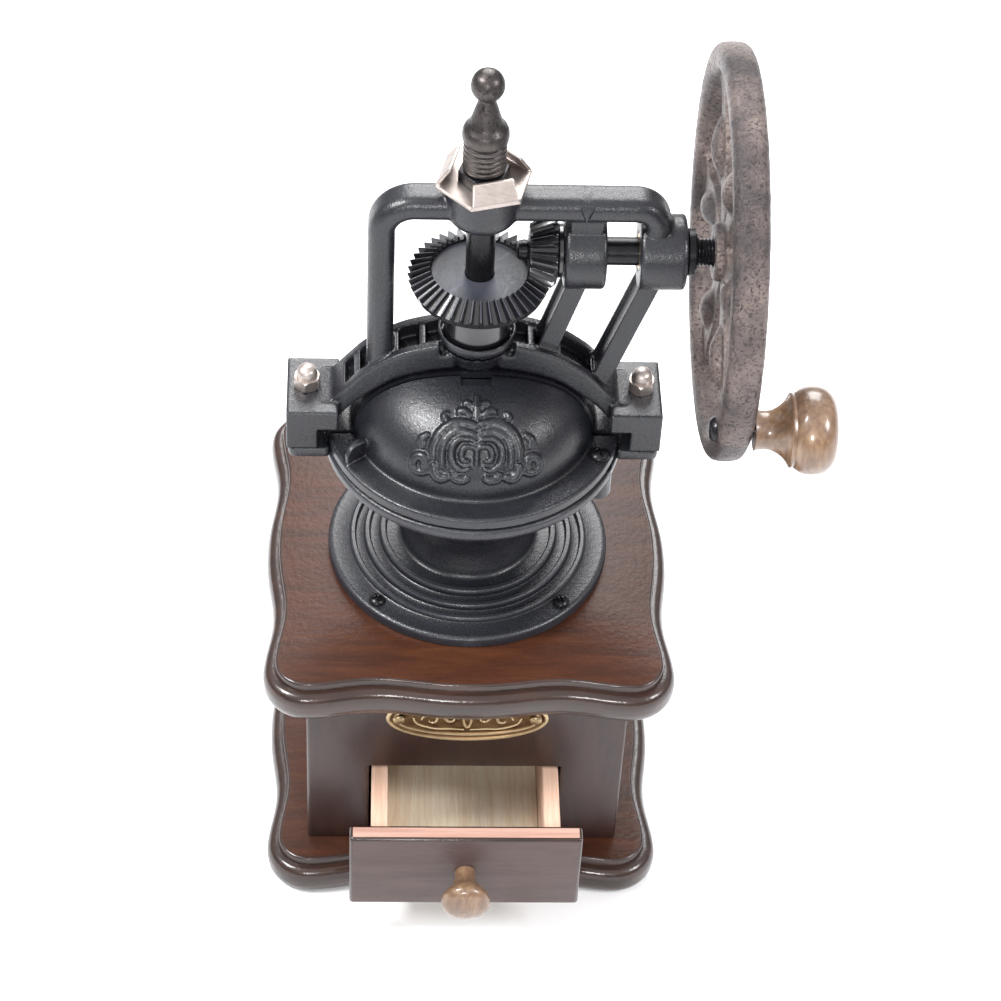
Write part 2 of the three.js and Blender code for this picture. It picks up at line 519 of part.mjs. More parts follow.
const hexagon = (radius, start = 0) => Array.from({ length: 6 }, (_, i) =>
  [radius * Math.cos(start + i * Math.PI / 3), radius * Math.sin(start + i * Math.PI / 3)]);
const threadHole = rod(SHAFT.threadRadius + 0.2, 262.6, SHAFT.top + 1.2, 14);
const plateLow = 265.3;
const plateSheet = 1.2;
const tabTurn = degrees(-75);

// A tab bent up from the hexagon's edge and leaning in towards the nut.
function foldedTab(direction) {
  const [apothem, lean, height] = [13.3, 4.2, 7.4];
  const [low, high] = [plateLow, plateLow + height];
  const profile = [[apothem - 1.3, low], [apothem, low], [apothem - lean, high], [apothem - lean - 1.3, high]];
  return upright(profile, -7.6, 7.6).rotate([0, 0, THREE.MathUtils.radToDeg(direction)]);
}

piece('adjusting_plate', cut(join(
  flat(hexagon(15.4, tabTurn + Math.PI / 6), plateLow, plateLow + plateSheet),
  ...[0, 1, 2].map((i) => foldedTab(tabTurn + i * 2 * Math.PI / 3))), threadHole), 'steel');
piece('adjusting_nut', cut(flat(hexagon(8.2, 0.2), plateLow + plateSheet + GAP, 270.6), threadHole),
  'darkSteel');

const finialProfile = [[0, 270.8], [6.8, 270.8], [6.8, 272.6], [6.2, 273.4], [6.9, 274.2],
  [6.9, 276.4], [6.2, 277.2], [6.9, 278], [6.9, 280.4], [6.2, 281.3], [7.2, 282.6], [7, 284.6],
  [3.2, 294.2], [2.6, 296.4], [4.4, 298.6], [5.1, 301.6], [3.9, 305], [0, 306.7]];
piece('finial', cut(turned(finialProfile, 14), threadHole), 'pewter');

const alongCrank = [0, 0, CRANK.z];
piece('crank_shaft', rod(CRANK.radius, CRANK.start, CRANK.end, 16, 'x', alongCrank), 'darkSteel');
piece('pinion_nut', cut(turned([[0, 10.6], [4.2, 10.6], [5, 11.2], [5, 12.4], [0, 12.4]], 12, 'x',
  alongCrank), rod(2, 11.4, 14, 8, 'x', alongCrank)), 'darkSteel');
piece('shaft_collar', ring(7.4, CRANK.radius + 0.2, BOSS.outer[1] + 0.3, BOSS.outer[1] + 3.2, 16, 'x',
  alongCrank), 'darkSteel');

// ---- flywheel and handle ---------------------------------------------------------------------

const rimFace = WHEEL.rimWidth / 2;
const rimInner = WHEEL.radius - WHEEL.rimDepth;
const rim = turned([[rimInner, -rimFace + 2.2], [rimInner + 2, -rimFace], [WHEEL.radius - 3, -rimFace],
  [WHEEL.radius, -rimFace + 2.8], [WHEEL.radius, rimFace - 2.8], [WHEEL.radius - 3, rimFace],
  [rimInner + 2, rimFace], [rimInner, rimFace - 2.2]], 32, 'x', [WHEEL.x, 0, CRANK.z]);

// One spoke: a flat bar from hub to rim with an oval bulb on it, turned about the crank's axis.
function spoke(index) {
  const bar = box([-1.8, 1.8], [-2.2, 2.2], [WHEEL.hub - 1, rimInner + 1]);
  const bulb = solid(new THREE.SphereGeometry(1, 8, 5).scale(5, 5.4, 8.6)
    .translate(0, 0, WHEEL.bulb));
  return join(bar, bulb).rotate([360 / WHEEL.spokes * index + 15, 0, 0]).translate([WHEEL.x, 0, CRANK.z]);
}

const wheelHub = rod(WHEEL.hub, WHEEL.x - 4.6, WHEEL.x + 4.6, 16, 'x', alongCrank);
const handleAt = [0, handleY, handleZ];
piece('wheel', cut(
  join(rim, wheelHub, ...Array.from({ length: WHEEL.spokes }, (_, i) => spoke(i))),
  rod(CRANK.radius + 0.2, 60, 90, 16, 'x', alongCrank),
  rod(HANDLE.bolt + 0.2, 60, 90, 8, 'x', handleAt)), 'pewter');
piece('wheel_nut', cut(rod(7.4, WHEEL.x + 4.7, WHEEL.x + 8.2, 6, 'x', alongCrank),
  rod(CRANK.radius + 0.2, 60, 90, 16, 'x', alongCrank)), 'darkSteel');
const boltHead = WHEEL.x - rimFace - GAP;
piece('handle_bolt', turned([[0, boltHead - 2], [3.6, boltHead - 1.8], [4, boltHead], [HANDLE.bolt,
  boltHead], [HANDLE.bolt, HANDLE.start + 20], [0, HANDLE.start + 20]], 8, 'x', handleAt), 'steel');

const handleProfile = [[0, 0], [6.4, 0], [HANDLE.neck, 2.2], [6.4, 5.4], [8.2, 8.2], [11.2, 10.6],
  [12.5, 13.4], [HANDLE.head, 17.2], [13, 21], [10.8, 23.8], [6, 25], [0, HANDLE.length]];
piece('wheel_knob', cut(turned(handleProfile.map(([r, x]) => [r, x + HANDLE.start]), 18, 'x', handleAt),
  rod(HANDLE.bolt + 0.35, 75, HANDLE.start + 21, 10, 'x', handleAt)), 'knobWood');

// ---- the assembly ----------------------------------------------------------------------------

const grinder = new THREE.Group();
grinder.name = 'coffee_grinder';
grinder.add(...meshes);

export default grinder;
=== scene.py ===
"""Looks of the hand crank coffee grinder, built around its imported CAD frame.

Shapes are made in millimetres in the CAD frame and scaled to metres when they become objects.
"""
import json
import math
import bpy
from mathutils import Matrix, Vector, noise


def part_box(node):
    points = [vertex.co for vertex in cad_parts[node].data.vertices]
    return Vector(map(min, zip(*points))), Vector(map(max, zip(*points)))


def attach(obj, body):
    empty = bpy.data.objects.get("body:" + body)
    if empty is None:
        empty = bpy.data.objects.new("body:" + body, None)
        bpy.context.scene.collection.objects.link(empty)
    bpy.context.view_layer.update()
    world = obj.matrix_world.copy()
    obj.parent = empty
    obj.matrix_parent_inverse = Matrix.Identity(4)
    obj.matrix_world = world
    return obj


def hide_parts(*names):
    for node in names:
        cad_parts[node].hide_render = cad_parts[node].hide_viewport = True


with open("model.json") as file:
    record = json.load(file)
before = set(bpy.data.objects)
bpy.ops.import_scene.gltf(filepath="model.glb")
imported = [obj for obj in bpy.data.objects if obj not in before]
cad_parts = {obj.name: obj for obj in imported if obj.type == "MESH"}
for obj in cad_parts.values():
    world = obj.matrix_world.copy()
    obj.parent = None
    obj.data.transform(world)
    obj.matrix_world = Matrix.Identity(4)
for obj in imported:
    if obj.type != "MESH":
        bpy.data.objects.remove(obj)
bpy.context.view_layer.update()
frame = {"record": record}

MM = 0.001
TAU = 2 * math.pi


# ---- camera, floor and light ----

CAMERA_AT = Vector((-35.6, -704, 853.8)) * MM
CAMERA_YAW = 0.0653
CAMERA_PITCH = 0.80
CAMERA_ROLL = 0.0562
FOCAL_IN_WIDTHS = 3.0364635
SENSOR = 36
SKY_LIGHT = 1.15
HORIZON_LIGHT = 0.3
LIGHT_TARGET = Vector((0, 0, 0.15))
# The place in metres, the width in metres and the power in watts of each soft light.
LIGHTS = {"key": ((-0.75, -0.15, 1.25), 0.4, 24), "fill": ((0.95, -0.45, 0.95), 0.4, 11),
          "back": ((0.1, 1.1, 1), 0.8, 18), "front": ((-0.15, -1.2, 0.75), 0.22, 7)}
FLOOR_HALF = 3


def add_camera():
    """The photograph's viewpoint: above the drawer's side, looking down at the grinder."""
    forward = Vector((math.sin(CAMERA_YAW) * math.cos(CAMERA_PITCH),
                      math.cos(CAMERA_YAW) * math.cos(CAMERA_PITCH), -math.sin(CAMERA_PITCH)))
    level = Vector((math.cos(CAMERA_YAW), -math.sin(CAMERA_YAW), 0))
    lift = level.cross(forward)
    right = level * math.cos(CAMERA_ROLL) + lift * math.sin(CAMERA_ROLL)
    up = lift * math.cos(CAMERA_ROLL) - level * math.sin(CAMERA_ROLL)
    data = bpy.data.cameras.new("camera")
    data.sensor_width = SENSOR
    data.lens = SENSOR * FOCAL_IN_WIDTHS
    camera = bpy.data.objects.new("camera", data)
    bpy.context.scene.collection.objects.link(camera)
    axes = Matrix((right, up, -forward)).transposed().to_4x4()
    camera.matrix_world = Matrix.Translation(CAMERA_AT) @ axes
    bpy.context.scene.camera = camera


def area_light(name, at, size, power):
    data = bpy.data.lights.new(name, "AREA")
    data.size = size
    data.energy = power
    light = bpy.data.objects.new(name, data)
    light.location = at
    light.rotation_euler = (LIGHT_TARGET - Vector(at)).to_track_quat("-Z", "Y").to_euler()
    bpy.context.scene.collection.objects.link(light)


def add_studio():
    """A pale floor under a bright overhead sky that darkens towards the horizon."""
    world = bpy.data.worlds.new("studio")
    world.use_nodes = True
    tree = world.node_tree
    background = tree.nodes["Background"]
    coordinates = tree.nodes.new("ShaderNodeTexCoord")
    split = tree.nodes.new("ShaderNodeSeparateXYZ")
    ramp = tree.nodes.new("ShaderNodeValToRGB")
    low, high = ramp.color_ramp.elements
    low.position, low.color = 0.05, (HORIZON_LIGHT, HORIZON_LIGHT, HORIZON_LIGHT * 1.03, 1)
    high.position, high.color = 0.75, (SKY_LIGHT, SKY_LIGHT, SKY_LIGHT * 1.03, 1)
    tree.links.new(coordinates.outputs["Generated"], split.inputs["Vector"])
    tree.links.new(split.outputs["Z"], ramp.inputs["Fac"])
    tree.links.new(ramp.outputs["Color"], background.inputs["Color"])
    bpy.context.scene.world = world
    for name, settings in LIGHTS.items():
        area_light(name, *settings)
    corners = [(x * FLOOR_HALF, y * FLOOR_HALF, 0) for x, y in ((-1, -1), (1, -1), (1, 1), (-1, 1))]
    floor = mesh_object("floor", corners, [(0, 1, 2, 3)], unit=1)
    floor.data.materials.append(MATERIALS["studio_floor"])
    bpy.context.scene.view_settings.view_transform = "Standard"


# ---- shader helpers ----

def srgb(r, g, b):
    """A linear colour from 0-255 display values."""
    def linear(value):
        c = value / 255
        return c / 12.92 if c <= 0.04045 else ((c + 0.055) / 1.055) ** 2.4
    return (linear(r), linear(g), linear(b), 1)


def toned(colour, gain, lift=0):
    """The colour made lighter or darker."""
    return [c * gain + lift for c in colour[:3]] + [1]


MATERIALS = {}


class Shader:
    """A small builder around one material's node tree, which is kept in MATERIALS."""

    def __init__(self, name, **sockets):
        material = bpy.data.materials.new(name)
        material.use_nodes = True
        MATERIALS[name] = material
        self.tree = material.node_tree
        self.bsdf = self.tree.nodes["Principled BSDF"]
        for socket, value in sockets.items():
            self.bsdf.inputs[socket.replace("_", " ").title().replace("Ior", "IOR")].default_value = value

    def node(self, kind, **inputs):
        made = self.tree.nodes.new(kind)
        for name, value in inputs.items():
            made.inputs[name].default_value = value
        return made

    def link(self, source, target):
        self.tree.links.new(source, target)

    def place(self, scale):
        """Object coordinates in millimetres, times scale."""
        coordinates = self.node("ShaderNodeTexCoord")
        mapping = self.node("ShaderNodeMapping")
        mapping.inputs["Scale"].default_value = [s / MM for s in scale]
        self.link(coordinates.outputs["Object"], mapping.inputs["Vector"])
        return mapping.outputs["Vector"]

    def noise(self, scale, detail=3, roughness=0.55, distortion=0, stretch=(1, 1, 1)):
        place = self.place(stretch)
        made = self.node("ShaderNodeTexNoise", Scale=scale, Detail=detail, Roughness=roughness,
                         Distortion=distortion)
        self.link(place, made.inputs["Vector"])
        return made.outputs["Fac"]

    def ramp(self, factor, *stops):
        """A colour ramp. Each stop is (position, colour)."""
        made = self.node("ShaderNodeValToRGB")
        elements = made.color_ramp.elements
        while len(elements) < len(stops):
            elements.new(0.5)
        for element, (position, colour) in zip(elements, stops):
            element.position = position
            element.color = colour
        self.link(factor, made.inputs["Fac"])
        return made.outputs["Color"]

    def mix(self, factor, first, second, blend="MIX"):
        made = self.tree.nodes.new("ShaderNodeMix")
        made.data_type = "RGBA"
        made.blend_type = blend
        for socket, value in ((made.inputs[0], factor), (made.inputs[6], first), (made.inputs[7], second)):
            if isinstance(value, bpy.types.NodeSocket):
                self.link(value, socket)
            else:
                socket.default_value = value
        return made.outputs[2]

    def span(self, factor, low, high, start=0, end=1):
        made = self.node("ShaderNodeMapRange")
        for socket, value in (("From Min", start), ("From Max", end), ("To Min", low), ("To Max", high)):
            made.inputs[socket].default_value = value
        self.link(factor, made.inputs["Value"])
        return made.outputs["Result"]

    def edges(self, low, high, start=0.5, end=0.6):
        """A value that rises from low on flats to high on convex edges."""
        geometry = self.node("ShaderNodeNewGeometry")
        return self.span(geometry.outputs["Pointiness"], low, high, start, end)

    def colour(self, source):
        self.link(source, self.bsdf.inputs["Base Color"])

    def roughness(self, source):
        self.link(source, self.bsdf.inputs["Roughness"])

    def bump(self, height, distance, strength=1):
        """Adds a bump of that depth in millimetres after any earlier one."""
        made = self.node("ShaderNodeBump", Strength=strength, Distance=distance * MM)
        self.link(height, made.inputs["Height"])
        earlier = self.bsdf.inputs["Normal"]
        if earlier.is_linked:
            self.link(earlier.links[0].from_socket, made.inputs["Normal"])
        self.link(made.outputs["Normal"], earlier)
        self.link(made.outputs["Normal"], self.bsdf.inputs["Coat Normal"])


# ---- materials ----

def lacquered_wood(name, dark, mid, light, along="x", peel=0.02, coat=0.6, roughness=0.42, gloss=0.16,
                   shine=0.35):
    """Stained wood under clear lacquer: long grain, small pores and an orange-peel surface."""
    s = Shader(name, roughness=roughness, coat_weight=coat, coat_roughness=gloss, coat_ior=1.5,
               specular_ior_level=shine)
    grain = s.noise(1, 5, 0.6, 0.6, stretch=stretched(along, 0.03, 0.22))
    fine = s.noise(1, 3, stretch=stretched(along, 0.2, 2.2))
    body = s.ramp(grain, (0.28, dark), (0.5, mid), (0.74, light))
    pores = s.ramp(fine, (0.34, (0.6, 0.57, 0.55, 1)), (0.5, (1, 1, 1, 1)))
    s.colour(s.mix(0.4, body, pores, "MULTIPLY"))
    s.bump(fine, 0.02, 0.5)
    s.bump(s.noise(1.35, 2), peel)
    s.bump(s.noise(0.5, 1), peel * 2)


def stretched(along, long_scale, cross_scale):
    """Noise scales that draw streaks out along one axis."""
    return tuple(long_scale if axis == along else cross_scale for axis in "xyz")


def raw_wood(name, dark, light, along="y"):
    """Unfinished pale wood with straight grain."""
    s = Shader(name, roughness=0.62, specular_ior_level=0.3)
    grain = s.noise(1, 5, 0.6, 0.35, stretch=stretched(along, 0.012, 0.42))
    fibre = s.noise(1, 3, stretch=stretched(along, 0.15, 3.2))
    body = s.ramp(grain, (0.32, dark), (0.66, light))
    s.colour(s.mix(0.25, body, s.ramp(fibre, (0.3, (0.5, 0.42, 0.36, 1)), (0.6, (1, 1, 1, 1))), "MULTIPLY"))
    s.bump(fibre, 0.05, 0.7)


def turned_wood():
    """Lacquered walnut-brown turning with short streaks of grain."""
    s = Shader("knob_wood", roughness=0.34, coat_weight=0.55, coat_roughness=0.12)
    grain = s.noise(1, 5, 0.6, 0.8, stretch=stretched("z", 0.1, 0.5))
    patches = s.noise(0.11, 3)
    body = s.ramp(grain, (0.3, srgb(88, 64, 46)), (0.5, srgb(114, 88, 66)), (0.72, srgb(136, 110, 84)))
    s.colour(s.mix(s.span(patches, 0, 0.5, 0.4, 0.7), body, srgb(88, 68, 54)))
    s.bump(grain, 0.03, 0.6)


def cast_paint(name, tone, roughness, grit):
    """Matt paint over a casting: fine grit, slight tone changes, and edges rubbed a little brighter."""
    s = Shader(name, specular_ior_level=0.55)
    patches = s.noise(0.07, 4)
    grains = s.noise(2.4, 2)
    body = s.ramp(patches, (0.35, toned(tone, 0.85)), (0.65, toned(tone, 1.15)))
    s.colour(s.mix(s.edges(0, 0.5, 0.51, 0.6), body, toned(tone, 3, 0.01)))
    s.roughness(s.span(grains, roughness - 0.1, roughness + 0.1, 0.35, 0.65))
    s.bump(grains, grit * 1.5)
    s.bump(s.noise(0.6, 2), grit * 2.2)


def gloss_black(name, low, high, roughness):
    """Smooth black enamel with faint tone changes."""
    s = Shader(name, roughness=roughness, specular_ior_level=0.7, coat_weight=0.3, coat_roughness=0.1)
    s.colour(s.ramp(s.noise(0.25, 3), (0.3, low), (0.7, high)))
    s.bump(s.noise(0.8, 2), 0.02)


def antique_metal(name, shade, tone, relief, metallic):
    """Antiqued casting: fine fibrous pitting, faint brown patina and rubbed edges."""
    s = Shader(name, metallic=metallic)
    patches = s.noise(0.05, 3)
    pits = s.noise(0.9, 4, 0.65, 0.8)
    body = s.ramp(patches, (0.35, shade), (0.7, tone))
    rough = s.mix(s.span(pits, 0, 0.45, 0.45, 0.6), toned(shade, 0.5), body)
    aged = s.mix(s.span(pits, 0, 0.9, 0.35, 0.5), rough, body)
    s.colour(s.mix(s.edges(0, 0.55, 0.52, 0.62), aged, srgb(186, 176, 168)))
    s.roughness(s.span(pits, 0.5, 0.3, 0.35, 0.65))
    s.bump(pits, relief, 0.9)
    s.bump(s.noise(3, 3), relief * 0.4, 0.7)


def plain_metal(name, tone, shade, roughness, metallic=1, scratch=0.015):
    """Plated or blackened metal with fine brushing and faint stains."""
    s = Shader(name, metallic=metallic)
    patches = s.noise(0.2, 4)
    brushed = s.noise(1, 2, stretch=(0.3, 6, 0.3))
    s.colour(s.ramp(patches, (0.3, shade), (0.62, tone)))
    s.roughness(s.span(brushed, roughness - 0.05, roughness + 0.1, 0.3, 0.7))
    s.bump(brushed, scratch, 0.6)


def antique_brass():
    """Stamped brass with a brown wash left in its hollows."""
    s = Shader("brass", metallic=0.9)
    patches = s.noise(0.3, 4)
    body = s.ramp(patches, (0.35, srgb(122, 94, 60)), (0.7, srgb(158, 130, 88)))
    raised = s.edges(0, 1, 0.5, 0.58)
    s.colour(s.mix(raised, s.mix(0.6, body, srgb(62, 38, 28)), srgb(206, 184, 146)))
    s.roughness(s.span(patches, 0.28, 0.46, 0.35, 0.65))
    s.bump(s.noise(2.2, 2), 0.02)


def studio_white():
    """The plain pale floor."""
    s = Shader("studio_floor", roughness=0.75, specular_ior_level=0.2)
    tint = s.noise(0.002, 1)
    s.colour(s.ramp(tint, (0.3, (0.8, 0.805, 0.815, 1)), (0.7, (0.83, 0.835, 0.845, 1))))


lacquered_wood("plate_wood", srgb(44, 21, 10), srgb(59, 29, 14), srgb(71, 38, 19),
               peel=0.06, roughness=0.45, coat=0.1, gloss=0.25, shine=0.22)
lacquered_wood("edge_wood", srgb(30, 17, 13), srgb(42, 25, 18), srgb(54, 33, 24),
               roughness=0.3, coat=0.5, gloss=0.1, peel=0.03)
lacquered_wood("case_wood", srgb(36, 21, 18), srgb(44, 26, 22), srgb(52, 31, 26), "z",
               peel=0.012, coat=0.25, gloss=0.3)
lacquered_wood("front_wood", srgb(64, 50, 47), srgb(72, 57, 54), srgb(78, 62, 58),
               peel=0.012, roughness=0.5, coat=0.15, gloss=0.3)
raw_wood("rubbed_wood", srgb(158, 122, 108), srgb(194, 158, 144), "x")
raw_wood("pale_wood", srgb(196, 160, 138), srgb(218, 188, 168))
raw_wood("floor_wood", srgb(234, 212, 180), srgb(252, 240, 216))
turned_wood()
cast_paint("casting", srgb(24, 25, 30), 0.34, 0.04)
gloss_black("gear_black", srgb(14, 14, 16), srgb(24, 24, 28), 0.22)
cast_paint("gear_disc", srgb(36, 38, 46), 0.55, 0.01)
antique_metal("pewter", srgb(80, 74, 74), srgb(140, 126, 120), 0.8, 0.8)
antique_metal("finial_metal", srgb(60, 56, 56), srgb(92, 86, 84), 0.08, 0.9)
plain_metal("nickel", srgb(186, 175, 169), srgb(166, 156, 150), 0.42, scratch=0)
plain_metal("blackened", srgb(34, 34, 37), srgb(22, 22, 24), 0.24, 0.6)
plain_metal("steel", srgb(205, 205, 208), srgb(170, 170, 175), 0.22, scratch=0.004)
antique_brass()
studio_white()


# ---- mesh helpers ----

def mesh_object(name, points, faces, unit=MM):
    mesh = bpy.data.meshes.new(name)
    mesh.from_pydata([Vector(p) * unit for p in points], [], faces)
    mesh.validate()
    made = bpy.data.objects.new(name, mesh)
    bpy.context.scene.collection.objects.link(made)
    return made


def joined(parts):
    """One (points, faces) shape from several."""
    points, faces = [], []
    for part_points, part_faces in parts:
        start = len(points)
        points.extend(part_points)
        faces.extend(tuple(i + start for i in face) for face in part_faces)
    return points, faces


def loft(rings, capped=True):
    """A skin through rings of equal length, wound so that its faces look outward."""
    count = len(rings[0])
    points = [Vector(p) for ring in rings for p in ring]
    faces = []
    bands = len(rings) - 1 if capped else len(rings)
    for i in range(bands):
        here, there = i * count, (i + 1) % len(rings) * count
        for j in range(count):
            k = (j + 1) % count
            faces.append((here + j, here + k, there + k, there + j))
    if capped:
        faces.append(tuple(reversed(range(count))))
        faces.append(tuple(range((len(rings) - 1) * count, len(rings) * count)))
    return outward(points, faces)


def outward(points, faces):
    """Turns a closed skin's faces outwards."""
    volume = 0
    for face in faces:
        first = points[face[0]]
        for a, b in zip(face[1:-1], face[2:]):
            volume += first.dot(points[a].cross(points[b]))
    return points, faces if volume > 0 else [tuple(reversed(face)) for face in faces]


def polar(r, angle):
    """A point at a distance and an angle from the origin."""
    return r * math.cos(angle), r * math.sin(angle)


TURN = {"z": Matrix.Identity(3), "x": Matrix.Rotation(math.pi / 2, 3, "Y"),
        "front": Matrix.Rotation(math.pi / 2, 3, "X")}


def turned(profile, axis="z", at=(0, 0, 0), sides=96):
    """A solid of revolution from (radius, height) points, closed on itself or on the axis."""
    solid = profile[0][0] == 0 and profile[-1][0] == 0
    around = profile[1:-1] if solid else profile
    rings = [[(*polar(r, TAU * i / sides), h) for i in range(sides)] for r, h in around]
    points, faces = loft(rings, capped=solid)
    if solid:
        ends = ((faces.pop(-2), profile[0][1]), (faces.pop(), profile[-1][1]))
        for cap, height in ends:
            faces += [(len(points), a, b) for a, b in zip(cap, cap[1:] + cap[:1])]
            points.append(Vector((0, 0, height)))
    return [TURN[axis] @ p + Vector(at) for p in points], faces


def rounded(profile, steps=6):
    """A Catmull-Rom curve through the points."""
    result = []
    count = len(profile)
    for i in range(count - 1):
        p0, p1, p2, p3 = (Vector(profile[min(max(k, 0), count - 1)]) for k in (i - 1, i, i + 1, i + 2))
        for step in range(steps):
            t = step / steps
            result.append(tuple(0.5 * (2 * p1 + (p2 - p0) * t + (2 * p0 - 5 * p1 + 4 * p2 - p3) * t ** 2
                                       + (3 * p1 - p0 - 3 * p2 + p3) * t ** 3)))
    return result + [tuple(profile[-1])]


def rod(radius, start, end, at=(0, 0, 0), sides=48, edge=0.3):
    """An upright round bar with chamfered ends."""
    return turned([(0, start), (radius - edge, start), (radius, start + edge), (radius, end - edge),
                   (radius - edge, end), (0, end)], at=at, sides=sides)


def ring(outer, inner, start, end, axis="z", at=(0, 0, 0), sides=64, edge=0.3):
    """A bored disc or sleeve with chamfered outer edges."""
    return turned([(inner, start), (outer - edge, start), (outer, start + edge), (outer, end - edge),
                   (outer - edge, end), (inner, end)], axis, at, sides)


def upright(outline, y0, y1):
    """An outline in X and Z, extruded along Y."""
    return loft([[(x, y, z) for x, z in outline] for y in (y0, y1)])


def slab(outline, z0, z1):
    """An outline in X and Y, extruded along Z."""
    return loft([[(x, y, z) for x, y in outline] for z in (z0, z1)])


def block(low, high):
    """A box between two corners."""
    return slab([(low[0], low[1]), (high[0], low[1]), (high[0], high[1]), (low[0], high[1])],
                low[2], high[2])


def extent(node):
    """The low and high corners of a CAD node in millimetres."""
    return tuple(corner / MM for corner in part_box(node))


def modifier(thing, kind, **settings):
    made = thing.modifiers.new(kind.lower(), kind)
    for name, value in settings.items():
        setattr(made, name, value)
    return made


def apply_modifiers(thing):
    """Bakes the modifiers into the mesh."""
    bpy.context.view_layer.update()
    evaluated = thing.evaluated_get(bpy.context.evaluated_depsgraph_get())
    mesh = bpy.data.meshes.new_from_object(evaluated)
    thing.modifiers.clear()
    thing.data = mesh


def shade(thing, angle=40):
    """Smooth shading with creases at edges sharper than the angle."""
    thing.data.polygons.foreach_set("use_smooth", [True] * len(thing.data.polygons))
    thing.data.set_sharp_from_angle(angle=math.radians(angle))


def bevelled(thing, width):
    """Rounds the sharp edges."""
    modifier(thing, "BEVEL", width=width * MM, segments=3, limit_method="ANGLE",
             angle_limit=math.radians(35), harden_normals=False)
    apply_modifiers(thing)


def cast(thing, voxel, rounds):
    """Melts overlapping shapes into one skin with the soft inside corners of a casting."""
    modifier(thing, "REMESH", mode="VOXEL", voxel_size=voxel * MM, use_smooth_shade=True)
    modifier(thing, "SMOOTH", factor=0.5, iterations=rounds)
    apply_modifiers(thing)


def combined(thing, other, operation="UNION"):
    """Joins another object into this one, or cuts it out, and removes it."""
    modifier(thing, "BOOLEAN", operation=operation, solver="MANIFOLD", object=other)
    apply_modifiers(thing)
    bpy.data.objects.remove(other)


def carve(thing, shape):
    """Cuts a shape out of the object."""
    combined(thing, mesh_object("cutter", *shape), "DIFFERENCE")


def stands_for(thing, node):
    """Puts the object in its CAD node's place, on the node's body."""
    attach(thing, BODY_OF[node])
    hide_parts(node)


def piece(node, shape, look, bevel=0, voxel=0, rounds=4, carved=(), angle=40):
    """A finished piece that stands for the CAD node of its name."""
    thing = mesh_object(f"{node}_skin", *shape)
    if voxel:
        cast(thing, voxel, rounds)
    for tool in carved:
        carve(thing, tool)
    if bevel:
        bevelled(thing, bevel)
    shade(thing, angle)
    thing.data.materials.clear()
    thing.data.materials.append(MATERIALS[look])
    stands_for(thing, node)
    return thing


BODY_OF = {node: body for body, nodes in frame["record"]["behaviour"]["bodies"].items() for node in nodes}


def centre_of(node):
    low, high = extent(node)
    return (low + high) / 2


# ---- driving places, read from the frame ----

PLATE_THICK = extent("base_plate")[1].z
PLATE_HALF = extent("base_plate")[1].x
TOP_PLATE_Z = extent("top_plate")[0].z
FLANGE_Z = extent("top_plate")[1].z
CRANK_Z = centre_of("crank_shaft").z
WHEEL_X = centre_of("wheel").x
WHEEL_RADIUS = (extent("wheel")[1].z - extent("wheel")[0].z) / 2
EAR_TOP = extent("acorn_nut_left")[0].z - 0.1
EAR_BOLT_X = centre_of("acorn_nut_right").x
EAR_FRONT = -13.5
EAR_BACK = 12.7
PIVOT = centre_of("lid_screw")
HANDLE = centre_of("wheel_knob")
ON_CRANK = (0, 0, CRANK_Z)


# ---- wooden plates and case ----

PLATE_CORNER = 14.5
PLATE_WAVE = 2.6
PLATE_SKEW = 1.2
RISER_INSET = 4.1
LEAST_INSET = 0.02
BURR_HOLE_RADIUS = 21.2
CASE_EDGE = 1.2
BOARD_EDGE = 0.3


def plate_ring(inset, z):
    """The plate's outline, inset from full size: four wavy sides joined by round corner lobes."""
    span = PLATE_HALF - PLATE_CORNER
    side_steps, corner_steps = 44, 12
    outline = []
    for side in range(4):
        turn = Matrix.Rotation(side * math.pi / 2, 3, "Z")
        for i in range(side_steps + 1):
            x = span * (2 * i / side_steps - 1)
            dip = PLATE_WAVE * (1 - math.cos(TAU * (abs(x) / span) ** PLATE_SKEW)) / 2
            outline.append(turn @ Vector((x, -(PLATE_HALF - inset - dip), z)))
        for i in range(1, corner_steps):
            angle = (i / corner_steps - 1) * math.pi / 2
            r = PLATE_CORNER - inset
            outline.append(turn @ Vector((span + r * math.cos(angle), -span + r * math.sin(angle), z)))
    return outline


def plate_profile():
    """(inset, height) up the moulded edge: bullnose, shelf, riser and a small bead."""
    nose = rounded([(3.6, 0), (1.5, 0.75), (0.35, 2.8), (0, 5.6), (0.15, 8), (0.9, 9.9),
                    (2.2, 10.95), (3.6, 11.2)], 4)
    riser = [(RISER_INSET + step, z) for step, z in
             ((-0.1, 11.25), (0, 11.5), (0, 13.5), (0.15, 14), (0.45, 14.3), (0.9, PLATE_THICK))]
    return [(max(inset, LEAST_INSET), z) for inset, z in nose + riser]


def wooden_plate(name, bottom, carved=()):
    """A plate with a stained flat top and a darker moulded edge."""
    thing = mesh_object(f"{name}_skin", *loft([plate_ring(i, bottom + h) for i, h in plate_profile()]))
    shade(thing, 50)
    for look in ("plate_wood", "edge_wood"):
        thing.data.materials.append(MATERIALS[look])
    for face in thing.data.polygons:
        flat_top = face.normal.z > 0.95 and face.center.z > (bottom + PLATE_THICK - 0.2) * MM
        face.material_index = 0 if flat_top and len(face.vertices) > 4 else 1
    for tool in carved:
        carve(thing, tool)
        thing.data.materials.pop()  # the empty slot that the cutter leaves
    stands_for(thing, name)


